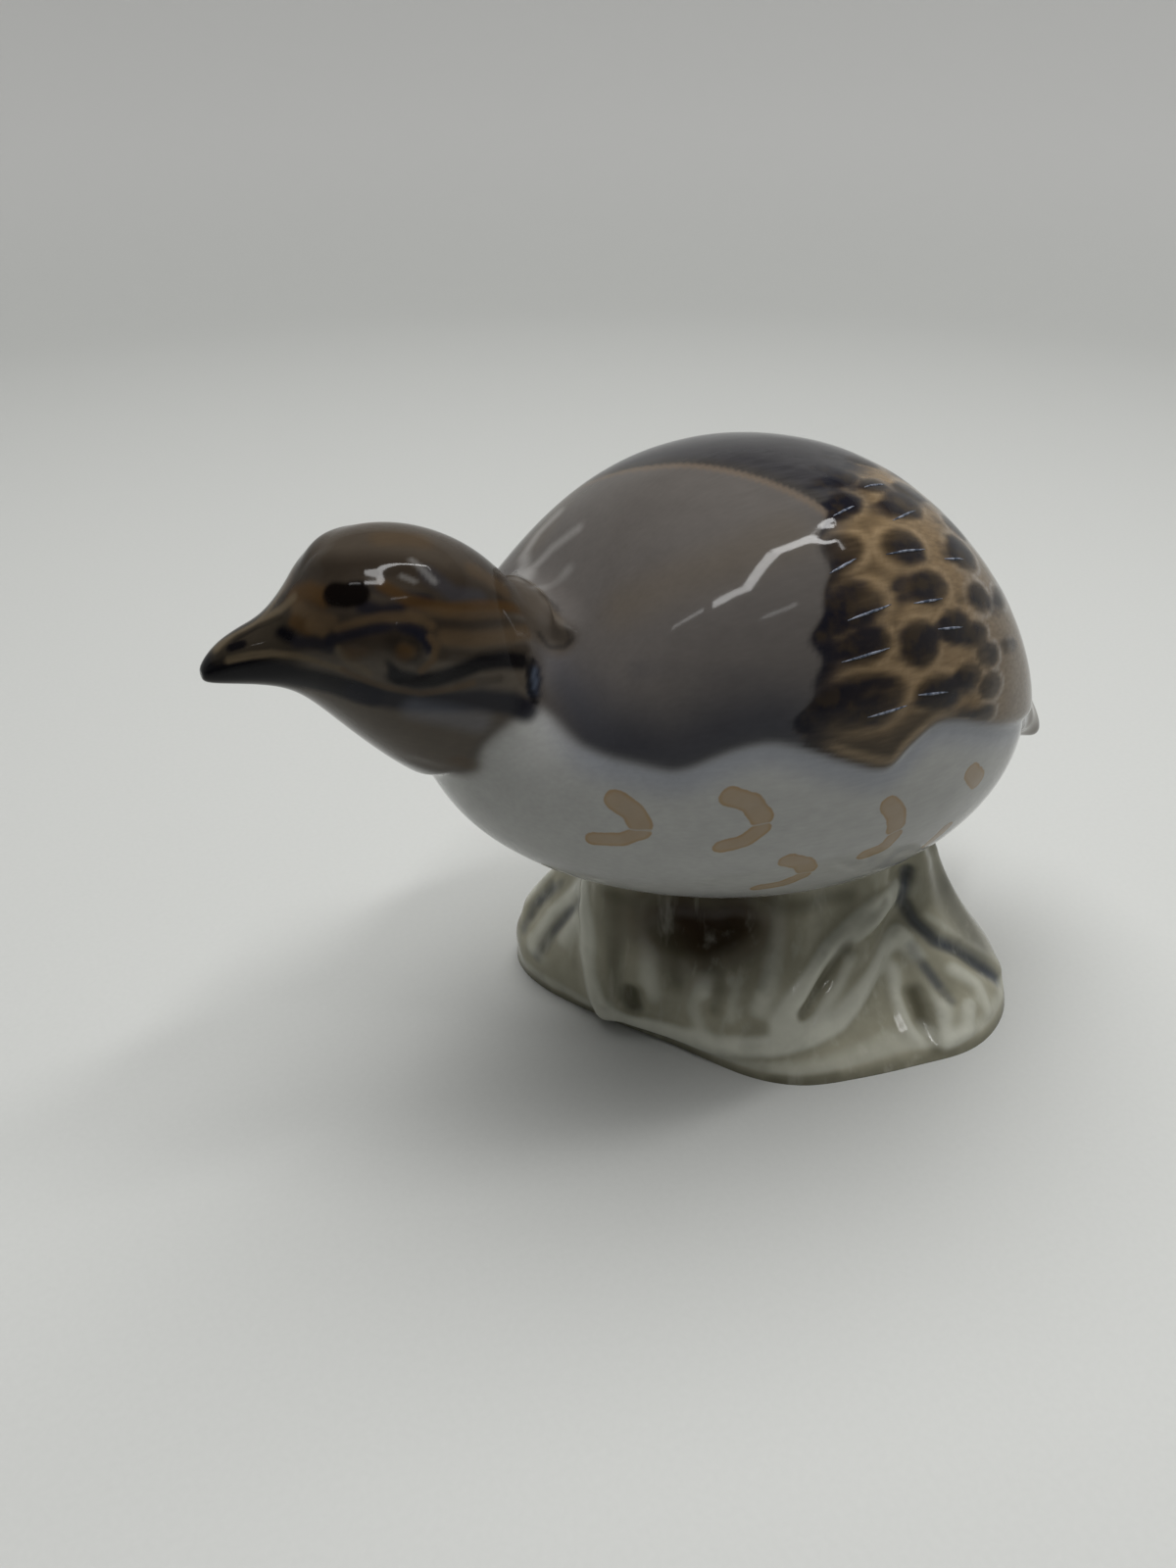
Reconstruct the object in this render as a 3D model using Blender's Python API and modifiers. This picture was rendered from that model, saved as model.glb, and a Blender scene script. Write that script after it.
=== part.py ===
"""Partridge figurine: one hollow, slip-cast porcelain piece, a plump bird carried on a folded mound.

The bird looks along -X, +Z is up, and the mound's foot stands on Z = 0.
Sizes are in metres. The forms are shares of the named sizes, so each size can be changed by itself.
"""

import math
from dataclasses import dataclass

import bmesh
import bpy
from mathutils import Matrix, Vector

NAME = "partridge_figurine"

# Body, from the breast to the rump, and from the belly to the top of the back
BODY_LENGTH = 0.104
BODY_WIDTH = 0.074
BODY_HEIGHT = 0.084
BELLY_CLEARANCE = 0.028

# Head, from the root of the beak to the nape, and its middle ahead of the breast and below the back
HEAD_LENGTH = 0.038
HEAD_WIDTH = 0.029
HEAD_HEIGHT = 0.032
HEAD_AHEAD = 0.005
HEAD_DROP = 0.022

BEAK_LENGTH = 0.0125
BEAK_WIDTH = 0.0115
BEAK_DEPTH = 0.012

# Tail
TAIL_LENGTH = 0.0175
TAIL_WIDTH = 0.024
TAIL_THICKNESS = 0.009

# Wings: how far they stand out at their lower edge
WING_RELIEF = 0.0015

# Eyes, and the lip of feathers across the nape
EYE_WIDTH = 0.0095
EYE_HEIGHT = 0.0078
EYE_RELIEF = 0.0009
NAPE_WIDTH = 0.026
NAPE_LENGTH = 0.011
NAPE_THICKNESS = 0.0075

# Mound: its foot, which spreads past the body on each side, its middle behind the body's, the height
# of its rim and how far its neck hugs the belly
MOUND_LENGTH = 0.090
MOUND_SPREAD = 0.004
MOUND_WIDTH = BODY_WIDTH + 2 * MOUND_SPREAD
MOUND_BEHIND = 0.0175
MOUND_RIM = 0.006
MOUND_HUG = 0.011

# Hollow: the wall left all round it, the floor under it and the air hole through the floor
WALL = 0.004
FLOOR = 0.004
AIR_HOLE = 0.0035

# Underside: the flat ring it stands on and the shallow recess inside that ring
FOOT_RING = 0.006
FOOT_RECESS = 0.0015

# Points round each section of the bird, and how often its cage is smoothed
SECTION_POINTS = 10
SMOOTHING_COUNT = 2
HOLLOW_SMOOTHING_COUNT = 1
HOLE_SIDES = 24
# A cube smoothed away to an egg keeps this share of its width
EGG_RATIO = 0.84

# Lower edge of the wing seen from the side, from the shoulder to the rump: along and up,
# in shares of the body's length and height
WING_EDGE = (
    (-0.42, 0.80),
    (-0.37, 0.68),
    (-0.31, 0.60),
    (-0.24, 0.575),
    (-0.17, 0.58),
    (-0.10, 0.605),
    (-0.06, 0.60),
    (-0.01, 0.55),
    (0.04, 0.52),
    (0.09, 0.515),
    (0.14, 0.535),
    (0.19, 0.555),
    (0.24, 0.575),
    (0.30, 0.56),
    (0.37, 0.55),
    (0.44, 0.53),
    (0.50, 0.50),
    (0.54, 0.46),
)

# The mound's folds, one row each, counted round from the left of the breast past its left side.
# Foot, top of the rim, height of the rim there, waist and neck: each point is along and across,
# in hundredths of the mound's length and width.
MOUND_FOLDS = (
    ((-52, 33), (-54, 32), 1.6, (-48, 30), (-37, 25)),
    ((-50, 17), (-52, 19), 1.0, (-42, 17), (-38, 16)),
    ((-44, 6), (-46, 2), 0.8, (-46, 2), (-44, 6)),
    ((-40, -2), (-42, -6), 0.8, (-40, -6), (-40, -2)),
    ((-33, -14), (-34, -15), 0.9, (-30, -9), (-31, -5)),
    ((-29, -23), (-29, -25), 1.0, (-28, -20), (-24, -11)),
    ((-24, -33), (-24, -32), 1.0, (-17, -15), (-16, -12)),
    ((-16, -41), (-16, -36), 1.1, (-12, -30), (-6, -20)),
    ((-6, -44), (-8, -36), 1.1, (-4, -21), (3, -17)),
    ((4, -47), (1, -33), 1.0, (5, -31), (13, -25)),
    ((13, -49), (12, -30), 1.0, (15, -19), (17, -19)),
    ((22, -49), (22, -42), 1.5, (22, -32), (22, -25)),
    ((32, -46), (31, -37), 1.2, (29, -26), (25, -20)),
    ((42, -37), (40, -33), 1.6, (35, -28), (29, -19)),
    ((48, -22), (46, -20), 1.2, (37, -15), (30, -10)),
    ((49, 4), (48, 4), 1.4, (40, 2), (30, 2)),
    ((46, 19), (43, 17), 1.0, (30, 11), (27, 9)),
    ((39, 32), (37, 31), 1.4, (32, 27), (21, 17)),
    ((28, 43), (25, 39), 1.0, (15, 24), (14, 21)),
    ((13, 50), (12, 47), 1.3, (9, 39), (4, 25)),
    ((-3, 51), (-4, 46), 1.0, (-5, 29), (-6, 25)),
    ((-20, 51), (-20, 48), 1.4, (-20, 40), (-17, 26)),
    ((-42, 43), (-43, 42), 1.5, (-37, 38), (-30, 25)),
)


@dataclass(frozen=True)
class Section:
    """One cross-section of the bird: the ends of its middle line, its half-width and widest level."""

    top: Vector
    foot: Vector
    half_width: float
    widest: float = 0.5

    def inset(self, wall):
        """The same section drawn in by the thickness of a wall."""
        upright = (self.top - self.foot).normalized() * wall
        return Section(self.top - upright, self.foot + upright, self.half_width - wall, self.widest)


def head_middle():
    """The middle of the head, set from the breast and the top of the back."""
    return Vector((-BODY_LENGTH / 2 - HEAD_AHEAD, 0, BELLY_CLEARANCE + BODY_HEIGHT - HEAD_DROP))


def head_sections():
    """The beak from its tip, then the head back to the nape, as shares of their own sizes."""
    middle = head_middle()
    root = middle - Vector((HEAD_LENGTH / 2, 0, 0))
    beak = (
        # ahead of the root, top, foot, half-width
        (0.88, 0.12, -0.06, 0.26),
        (0.58, 0.44, -0.12, 0.66),
        (0.02, 0.59, -0.25, 1.00),
    )
    for ahead, top, foot, width in beak:
        yield Section(
            top=root + Vector((-ahead * BEAK_LENGTH, 0, top * BEAK_DEPTH)),
            foot=root + Vector((-ahead * BEAK_LENGTH, 0, foot * BEAK_DEPTH)),
            half_width=width * BEAK_WIDTH / 2,
        )
    head = (
        # top along and up, foot along and down, half-width
        (-0.37, 0.40, -0.40, -0.18, 0.64),
        (-0.24, 0.56, -0.25, -0.40, 0.94),
        (0.02, 0.57, -0.11, -0.58, 1.08),
        (0.26, 0.46, -0.04, -0.66, 1.12),
        (0.46, 0.26, 0.02, -0.72, 1.12),
    )
    for top_x, top_z, foot_x, foot_z, width in head:
        yield Section(
            top=middle + Vector((top_x * HEAD_LENGTH, 0, top_z * HEAD_HEIGHT)),
            foot=middle + Vector((foot_x * HEAD_LENGTH, 0, foot_z * HEAD_HEIGHT)),
            half_width=width * HEAD_WIDTH / 2,
        )


def body_sections():
    """The body, from the neck to the rump, as shares of the body's sizes."""
    shape = (
        # top along and up, foot along and up, half-width
        (-0.33, 0.72, -0.52, 0.48, 0.44),
        (-0.25, 0.84, -0.48, 0.34, 0.66),
        (-0.13, 0.96, -0.36, 0.20, 0.88),
        (0.02, 1.00, -0.19, 0.09, 1.03),
        (0.18, 0.98, 0.02, 0.01, 1.07),
        (0.34, 0.89, 0.23, -0.02, 1.00),
        (0.47, 0.72, 0.40, 0.05, 0.82),
        (0.54, 0.52, 0.50, 0.17, 0.56),
    )
    for top_x, top_z, foot_x, foot_z, width in shape:
        yield Section(
            top=Vector((top_x * BODY_LENGTH, 0, BELLY_CLEARANCE + top_z * BODY_HEIGHT)),
            foot=Vector((foot_x * BODY_LENGTH, 0, BELLY_CLEARANCE + foot_z * BODY_HEIGHT)),
            half_width=width * BODY_WIDTH / 2,
        )


def tail_sections():
    """The short tail, which fans out flat behind the rump and dips."""
    root = Vector((0.56 * BODY_LENGTH, 0, BELLY_CLEARANCE + 0.34 * BODY_HEIGHT))
    shape = (
        # behind the root, drop, half-width, half-thickness
        (0.34, 0.20, 1.10, 1.30),
        (0.96, 0.78, 0.66, 0.60),
    )
    for behind, drop, width, thickness in shape:
        middle = root + Vector((behind * TAIL_LENGTH, 0, -drop * TAIL_LENGTH))
        reach = Vector((0.6, 0, 0.8)) * thickness * TAIL_THICKNESS / 2
        yield Section(top=middle + reach, foot=middle - reach, half_width=width * TAIL_WIDTH / 2)


def section_points(section):
    """The corners of one section, counted round from its top."""
    upright = section.top - section.foot
    middle = section.foot + section.widest * upright
    # a smoothed ring lies inside its corners by this share
    shrink = 2 / 3 + math.cos(math.tau / SECTION_POINTS) / 3
    points = []
    for k in range(SECTION_POINTS):
        turn = math.tau * k / SECTION_POINTS
        share = 1 - section.widest if math.cos(turn) > 0 else section.widest
        up = share * math.cos(turn) * upright
        across = Vector((0, math.sin(turn) * section.half_width, 0))
        points.append(middle + (up + across) / shrink)
    return points


def fold_points(column, height, inset=0):
    """One ring of the mound at a height, drawn in towards the mound's middle by an inset."""
    middle = Vector((MOUND_BEHIND, 0, height))
    points = []
    for fold in MOUND_FOLDS:
        along, across = fold[column]
        point = middle + Vector((along * MOUND_LENGTH / 100, across * MOUND_WIDTH / 100, 0))
        points.append(point - inset * (point - middle).normalized())
    return points


def mound_rings():
    """The mound's cage, ring by ring from below the ground to inside the belly."""
    rim = fold_points(1, 0)
    for point, fold in zip(rim, MOUND_FOLDS):
        point.z = fold[2] * MOUND_RIM
    return [
        fold_points(0, -MOUND_RIM),
        fold_points(0, 0.15 * MOUND_RIM),
        rim,
        fold_points(3, 0.6 * BELLY_CLEARANCE),
        fold_points(4, BELLY_CLEARANCE + 0.2 * MOUND_HUG),
        fold_points(4, BELLY_CLEARANCE + MOUND_HUG),
    ]


def well_rings():
    """The hollow inside the mound, from its floor to inside the body's hollow."""
    return [
        fold_points(3, FOOT_RECESS + FLOOR, WALL),
        fold_points(3, 0.6 * BELLY_CLEARANCE, WALL),
        fold_points(4, BELLY_CLEARANCE, WALL),
        fold_points(4, BELLY_CLEARANCE + 3.5 * WALL, WALL),
    ]


def recess_outline():
    """The outline of the shallow recess in the underside, inside the flat foot ring."""
    corners = fold_points(0, -FOOT_RECESS, FOOT_RING)
    outline = []
    for here, following in zip(corners, corners[1:] + corners[:1]):
        outline.append(0.75 * here + 0.25 * following)
        outline.append(0.25 * here + 0.75 * following)
    return outline


def wing_sections():
    """The body again, wider at its sides and a little lower on the back, so only the wings stand out."""
    for section in body_sections():
        aft = (section.top.x / BODY_LENGTH + 0.33) / 0.4
        relief = WING_RELIEF * min(1, 0.4 + 0.6 * aft)
        lower = Vector((0, 0, 1.2 * WING_RELIEF))
        yield Section(section.top - lower, section.foot + lower, section.half_width + relief)


def wing_outline():
    """The wings' outline seen from the side, on the bird's right."""
    corners = [*WING_EDGE, (WING_EDGE[-1][0], 1.2), (WING_EDGE[0][0], 1.2)]
    start = Vector((0, -BODY_WIDTH, BELLY_CLEARANCE))
    return [start + Vector((along * BODY_LENGTH, 0, up * BODY_HEIGHT)) for along, up in corners]


def hollow_sections():
    """The hollow in the body and neck: the outer sections drawn in by the wall."""
    wide = [section for section in (*head_sections(), *body_sections()) if section.half_width > 3.2 * WALL]
    return [section.inset(WALL) for section in wide[:-1]]


def finish(name, cage, smoothing):
    """The object made of a finished cage, smoothed as often as asked."""
    mesh = bpy.data.meshes.new(name)
    cage.to_mesh(mesh)
    cage.free()
    made = bpy.data.objects.new(name, mesh)
    if smoothing > 0:
        smooth = made.modifiers.new("smooth", "SUBSURF")
        smooth.levels = smoothing
        smooth.render_levels = smoothing
    return made


def pebble(name, centre, size, pitch=0.0):
    """A smooth egg of a given size, pitched nose up about the Y axis."""
    turned = Matrix.Translation(centre) @ Matrix.Rotation(pitch, 4, "Y") @ Matrix.Diagonal((*size, 1))
    cage = bmesh.new()
    bmesh.ops.create_cube(cage, size=1 / EGG_RATIO, matrix=turned)
    return finish(name, cage, SMOOTHING_COUNT)


def prism(name, outline, reach):
    """A flat outline drawn out along a vector."""
    cage = bmesh.new()
    face = cage.faces.new([cage.verts.new(point) for point in outline])
    drawn = bmesh.ops.extrude_face_region(cage, geom=[face])
    moved = [part for part in drawn["geom"] if isinstance(part, bmesh.types.BMVert)]
    bmesh.ops.translate(cage, verts=moved, vec=reach)
    bmesh.ops.recalc_face_normals(cage, faces=cage.faces)
    return finish(name, cage, 0)


def ground():
    """A block of everything below the ground, which cuts the mound's foot flat."""
    width = 2 * MOUND_LENGTH
    place = Matrix.Translation((MOUND_BEHIND, 0, -width / 2))
    cage = bmesh.new()
    bmesh.ops.create_cube(cage, size=width, matrix=place)
    return finish("ground", cage, 0)


def air_hole():
    """The air hole through the floor, under the middle of the mound."""
    depth = 2 * (FOOT_RECESS + FLOOR)
    place = Matrix.Translation((MOUND_BEHIND, 0, depth / 4))
    radius = AIR_HOLE / 2
    cage = bmesh.new()
    bmesh.ops.create_cone(
        cage, cap_ends=True, segments=HOLE_SIDES, radius1=radius, radius2=radius, depth=depth, matrix=place
    )
    return finish("air hole", cage, 0)


def skin(name, rings, smoothing):
    """A closed, smoothed form through rings of corners."""
    cage = bmesh.new()
    rings = [[cage.verts.new(point) for point in ring] for ring in rings]
    for ring, following in zip(rings, rings[1:]):
        for k in range(len(ring)):
            after = (k + 1) % len(ring)
            cage.faces.new((ring[k], ring[after], following[after], following[k]))
    cage.faces.new(reversed(rings[0]))
    cage.faces.new(rings[-1])
    bmesh.ops.recalc_face_normals(cage, faces=cage.faces)
    return finish(name, cage, smoothing)


def loft(name, sections, smoothing):
    """A smoothed form through the bird's sections."""
    return skin(name, [section_points(section) for section in sections], smoothing)


def combine(target, operation, other):
    """Adds one exact Boolean step to a form."""
    step = target.modifiers.new(f"{operation.lower()} {other.name}", "BOOLEAN")
    step.operation = operation
    step.solver = "EXACT"
    step.object = other


def glaze():
    """The porcelain's clear, glossy glaze over a pale grey body."""
    material = bpy.data.materials.new("glazed_porcelain")
    material.use_nodes = True
    shader = material.node_tree.nodes["Principled BSDF"]
    shader.inputs["Base Color"].default_value = (0.50, 0.50, 0.47, 1)
    shader.inputs["Roughness"].default_value = 0.08
    return material


def centre(figure, objects):
    """Moves every form so that the finished figure stands with the middle of its footprint on the origin."""
    bpy.context.view_layer.update()
    graph = bpy.context.evaluated_depsgraph_get()
    corners = [Vector(corner) for corner in figure.evaluated_get(graph).bound_box]
    low_x, high_x = min(c.x for c in corners), max(c.x for c in corners)
    low_y, high_y = min(c.y for c in corners), max(c.y for c in corners)
    shift = Matrix.Translation((-(low_x + high_x) / 2, -(low_y + high_y) / 2, 0))
    for form in objects:
        form.data.transform(shift)


def main():
    """Builds the figurine in an empty scene."""
    for old in list(bpy.data.objects):
        bpy.data.objects.remove(old)
    parts = bpy.data.collections.new(NAME)
    cutters = bpy.data.collections.new("cutters")
    bpy.context.scene.collection.children.link(parts)
    bpy.context.scene.collection.children.link(cutters)

    bird = loft(NAME, [*head_sections(), *body_sections(), *tail_sections()], SMOOTHING_COUNT)
    wings = loft("wings", wing_sections(), SMOOTHING_COUNT)
    outline = prism("wing outline", wing_outline(), Vector((0, 2 * BODY_WIDTH, 0)))
    combine(wings, "INTERSECT", outline)
    added = [wings, skin("mound", mound_rings(), SMOOTHING_COUNT)]
    eye = head_middle() + Vector((-0.13 * HEAD_LENGTH, 0, 0.15 * HEAD_HEIGHT))
    for side in (-1, 1):
        place = eye + Vector((0, side * (0.47 * HEAD_WIDTH), 0))
        added.append(pebble("eye", place, (EYE_WIDTH, 4 * EYE_RELIEF, EYE_HEIGHT)))
    nape = Vector((-0.32 * BODY_LENGTH, 0, BELLY_CLEARANCE + 0.74 * BODY_HEIGHT))
    added.append(pebble("nape lip", nape, (NAPE_LENGTH, NAPE_WIDTH, NAPE_THICKNESS), math.radians(35)))
    removed = [
        ground(),
        loft("body hollow", hollow_sections(), HOLLOW_SMOOTHING_COUNT),
        skin("mound hollow", well_rings(), HOLLOW_SMOOTHING_COUNT),
        prism("foot recess", recess_outline(), Vector((0, 0, 2 * FOOT_RECESS))),
        air_hole(),
    ]
    for form in added:
        combine(bird, "UNION", form)
    for form in removed:
        combine(bird, "DIFFERENCE", form)

    parts.objects.link(bird)
    helpers = [outline, *added, *removed]
    for form in helpers:
        cutters.objects.link(form)
        form.hide_render = True
        form.display_type = "WIRE"
    bird.data.materials.append(glaze())
    centre(bird, [bird, *helpers])


main()
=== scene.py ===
"""Partridge figurine in glazed porcelain: the modelled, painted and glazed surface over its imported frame.

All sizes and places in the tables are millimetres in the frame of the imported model: the bird looks
along -X, its left side faces -Y and the mound's foot stands on Z = 0.
"""

import logging
import math
from collections.abc import Callable
from dataclasses import dataclass
from enum import Enum

import bpy
import numpy as np
from mathutils import Matrix, Vector


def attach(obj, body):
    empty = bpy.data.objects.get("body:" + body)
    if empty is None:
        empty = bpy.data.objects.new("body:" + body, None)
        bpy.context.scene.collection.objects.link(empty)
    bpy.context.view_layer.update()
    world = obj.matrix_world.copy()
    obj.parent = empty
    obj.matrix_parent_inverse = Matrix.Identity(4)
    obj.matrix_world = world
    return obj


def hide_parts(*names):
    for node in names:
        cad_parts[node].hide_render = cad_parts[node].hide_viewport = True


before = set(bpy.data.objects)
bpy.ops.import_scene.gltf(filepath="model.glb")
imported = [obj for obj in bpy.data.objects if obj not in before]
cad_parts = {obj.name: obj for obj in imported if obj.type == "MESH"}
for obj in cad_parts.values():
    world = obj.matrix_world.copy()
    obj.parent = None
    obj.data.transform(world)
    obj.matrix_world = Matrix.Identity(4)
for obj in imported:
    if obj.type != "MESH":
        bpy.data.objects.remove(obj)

log = logging.getLogger("partridge")

FIGURINE = "partridge_figurine"
BODY = "root"
MM = 0.001

# How far the bird's own middle line lies from the middle of the footprint, along and across
SHIFT = (6.005, -0.479)
# How many places a spline is measured at, to space its rings evenly
FINE_STEPS = 900

Point = tuple[float, float, float]
Path = tuple[Point, ...]
Span = tuple[float, float]
Line = tuple[Span, ...]
Rows = tuple[tuple[float, ...], ...]
Carving = tuple[tuple[Path, float, float], ...]
Socket = bpy.types.NodeSocket
Value = Socket | float | tuple[float, ...]


class Tone(Enum):
    """The underglaze colours, as the painter would name them, in display values."""

    WHITE = (162, 162, 159)
    # Blue-grey, sprayed as painted shade below the wing's edge and as the painted highlight on the feather
    # shafts, and in a faint tinge on the throat
    SHADE = (128, 133, 146)
    MANTLE = (82, 78, 75)
    CAPE = (88, 84, 80)
    SLATE = (50, 51, 57)
    BAND = (56, 53, 50)
    # Pale grey: the feathers' pale streaks and rims, and the painted sheen up the nape and over the rump
    STREAK = (150, 148, 145)
    ARC = (100, 88, 76)
    NAVY = (17, 18, 27)
    INK = (4, 4, 8)
    SOOT = (8, 5, 4)
    BUFF = (112, 94, 70)
    RIM = (150, 130, 102)
    RUMP = (112, 106, 98)
    CROWN = (64, 57, 49)
    FAWN = (76, 61, 43)
    OCHRE = (66, 46, 20)
    CHEEK = (42, 35, 28)
    THROAT = (78, 71, 62)
    BEAK = (42, 37, 30)
    HORN = (88, 77, 60)
    BRUSH = (146, 122, 88)
    CELADON = (152, 149, 131)
    RIDGE = (200, 200, 187)
    MOSS = (78, 75, 58)
    DUSK = (56, 64, 78)
    UMBER = (34, 20, 5)
    BISQUE = (214, 212, 206)
    PAPER = (188, 189, 186)
    PAPER_LIGHT = (193, 194, 191)
    BACKDROP = (200, 200, 198)
    CLOTH = (120, 121, 122)

    def linear(self) -> np.ndarray:
        """The colour as scene-linear values."""
        share = np.array(self.value, float) / 255
        return np.where(share <= 0.04045, share / 12.92, ((share + 0.055) / 1.055) ** 2.4)


def rgba(tone: Tone) -> tuple[float, float, float, float]:
    """A tone as a node socket takes it."""
    red, green, blue = (float(value) for value in tone.linear())
    return (red, green, blue, 1.0)


def ease(value: np.ndarray | float, low: float, high: float) -> np.ndarray:
    """A smooth step from 0 at `low` to 1 at `high`."""
    share = np.clip((np.asarray(value, float) - low) / (high - low), 0.0, 1.0)
    return share * share * (3 - 2 * share)


def mirrored(points: np.ndarray) -> np.ndarray:
    """The points with both sides of the bird laid over one another, as its left side lies from Y = 0."""
    folded = points.copy()
    folded[..., 1] = np.abs(points[..., 1] - SHIFT[1]) + abs(SHIFT[1])
    return folded


def reach(points: np.ndarray, path: Path) -> np.ndarray:
    """The distance of every point from a line through a few places.

    Args:
        points: Places, one row each.
        path: Corners of the line, or one place.

    Returns:
        One distance for each point.
    """
    corners = np.array(path, float)
    best = np.linalg.norm(points - corners[0], axis=-1)
    for start, end in zip(corners, corners[1:]):
        along = end - start
        share = np.clip((points - start) @ along / (along @ along), 0.0, 1.0)
        best = np.minimum(best, np.linalg.norm(points - start - share[..., None] * along, axis=-1))
    return best


def smoothed(line: Line, steps: int = 8) -> Line:
    """A line through the same places without corners.

    Args:
        line: Places on the line.
        steps: How many places stand for each of them.

    Returns:
        The places of the smooth line.
    """
    places = np.array(line, float)
    padded = np.concatenate([[2 * places[0] - places[1]], places, [2 * places[-1] - places[-2]]])
    found = []
    for first, start, end, last in zip(padded, padded[1:], padded[2:], padded[3:]):
        for t in np.arange(steps) / steps:
            cubic, square = -first + 3 * start - 3 * end + last, 2 * first - 5 * start + 4 * end - last
            found.append((cubic * t**3 + square * t**2 + (end - first) * t) / 2 + start)
    found.append(places[-1])
    return tuple((float(a), float(b)) for a, b in found)


def above_line(across: np.ndarray, up: np.ndarray, line: Line) -> np.ndarray:
    """The signed distance above an open line in a plane, in its own units.

    Args:
        across: First coordinate of every point.
        up: Second coordinate of every point.
        line: Corners of the line, from left to right.

    Returns:
        The distance, above zero where a point lies above the line.
    """
    flat = np.stack([across, up, np.zeros_like(up)], axis=-1)
    distance = reach(flat, tuple((a, b, 0.0) for a, b in line))
    level = np.interp(across, [a for a, _ in line], [b for _, b in line])
    return np.where(up > level, distance, -distance)


@dataclass(frozen=True)
class Stroke:
    """One sprayed or brushed stroke of colour."""

    path: Path
    width: float
    tone: Tone = Tone.WHITE
    strength: float = 1.0
    softness: float = 0.8

    def mask(self, points: np.ndarray) -> np.ndarray:
        """How strongly the stroke covers each point, from 0 to its strength."""
        distance = reach(points, self.path)
        return self.strength * (1 - ease(distance, self.width * (1 - self.softness), self.width))


class Ground:
    """The colour at every point while it is being sprayed, layer over layer."""

    def __init__(self, tone: Tone, count: int) -> None:
        """Starts from one tone at all points."""
        self.colour = np.tile(tone.linear(), (count, 1))

    def spray(self, tone: Tone, mask: np.ndarray) -> None:
        """Sprays a tone over the points, as strongly as the mask says."""
        mask = np.clip(mask, 0, 1)[:, None]
        self.colour = self.colour * (1 - mask) + tone.linear() * mask


Density = Callable[[np.ndarray], np.ndarray]


@dataclass(frozen=True)
class Cage:
    """Rings of corners, which a smooth surface runs through as a cubic spline both ways."""

    corners: np.ndarray

    @staticmethod
    def weights(places: np.ndarray, count: int, closed: bool) -> np.ndarray:
        """How much each corner counts at each place along a spline.

        Args:
            places: Where, counted in corners.
            count: How many corners there are.
            closed: Whether the spline runs round and round.

        Returns:
            One row of weights for each place.
        """
        start = np.floor(places).astype(int)
        if not closed:
            start = np.clip(start, 1, count - 3)
        t = places - start
        shares = ((1 - t) ** 3, 3 * t**3 - 6 * t**2 + 4, -3 * t**3 + 3 * t**2 + 3 * t + 1, t**3)
        table = np.zeros((len(places), count))
        rows = np.arange(len(places))
        for offset, share in enumerate(shares):
            index = start - 1 + offset
            index = index % count if closed else np.clip(index, 0, count - 1)
            np.add.at(table, (rows, index), share / 6)
        return table

    def grid(self, along: np.ndarray, around: np.ndarray) -> np.ndarray:
        """The surface's points at every pair of places along and around."""
        rows = self.weights(along, self.corners.shape[0], closed=False)
        columns = self.weights(around, self.corners.shape[1], closed=True)
        return np.einsum("ar,rpc,bp->abc", rows, self.corners, columns)

    def even_places(self, count: int, first: float, last: float, density: Density) -> np.ndarray:
        """Places along the rings, evenly spaced over the surface.

        Args:
            count: How many places.
            first: The first place, counted in rings.
            last: The last place.
            density: Gives how many times closer the places lie, from the points of a ring.

        Returns:
            The places, counted in rings.
        """
        fine = np.linspace(first, last, FINE_STEPS)
        rings = self.grid(fine, np.arange(self.corners.shape[1]))
        steps = np.linalg.norm(np.diff(rings, axis=0), axis=-1).mean(axis=1)
        steps = steps * density(rings[:-1].mean(axis=1)) + 1e-6
        length = np.concatenate([[0], np.cumsum(steps)])
        return np.interp(np.linspace(0, length[-1], count), length, fine)


def grid_normals(grid: np.ndarray) -> np.ndarray:
    """Outward unit normals of a grid of points that closes round its second axis.

    Args:
        grid: The points, ring by ring.

    Returns:
        One normal for each point.
    """
    down = np.gradient(grid, axis=0)
    turn = np.roll(grid, -1, axis=1) - np.roll(grid, 1, axis=1)
    normal = np.cross(turn, down)
    outward = grid - grid.mean(axis=1, keepdims=True)
    if (normal * outward).sum() < 0:
        normal = -normal
    return normal / np.maximum(np.linalg.norm(normal, axis=-1, keepdims=True), 1e-9)


def closed_mesh(name: str, rings: np.ndarray, first: np.ndarray, last: np.ndarray) -> bpy.types.Mesh:
    """A closed mesh through rings of points with a single point at each end.

    Args:
        name: Name of the mesh.
        rings: Points in millimetres, ring by ring.
        first: The point that closes the first ring.
        last: The point that closes the last ring.

    Returns:
        The mesh, in metres. Its last two vertices are the closing points.
    """
    count, turns = rings.shape[:2]
    places = np.concatenate([rings.reshape(-1, 3), [first, last]]) * MM
    step = np.arange(turns)
    after = (step + 1) % turns
    start = (np.arange(count - 1) * turns)[:, None]
    quads = np.stack([start + step, start + after, start + turns + after, start + turns + step], axis=-1)
    pole = count * turns
    head = [(pole, int(b), int(a)) for a, b in zip(step, after)]
    base = (count - 1) * turns
    tail = [(pole + 1, base + int(a), base + int(b)) for a, b in zip(step, after)]
    mesh = bpy.data.meshes.new(name)
    mesh.from_pydata(places.tolist(), [], quads.reshape(-1, 4).tolist() + head + tail)
    mesh.validate()
    corner = places[quads.reshape(-1, 4)]
    volume = (corner[:, 0] * np.cross(corner[:, 1], corner[:, 2])).sum()
    if volume < 0:
        mesh.flip_normals()
    mesh.shade_smooth()
    return mesh


def placed(name: str, data: bpy.types.ID) -> bpy.types.Object:
    """A new object in the scene."""
    made = bpy.data.objects.new(name, data)
    bpy.context.scene.collection.objects.link(made)
    return made


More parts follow.
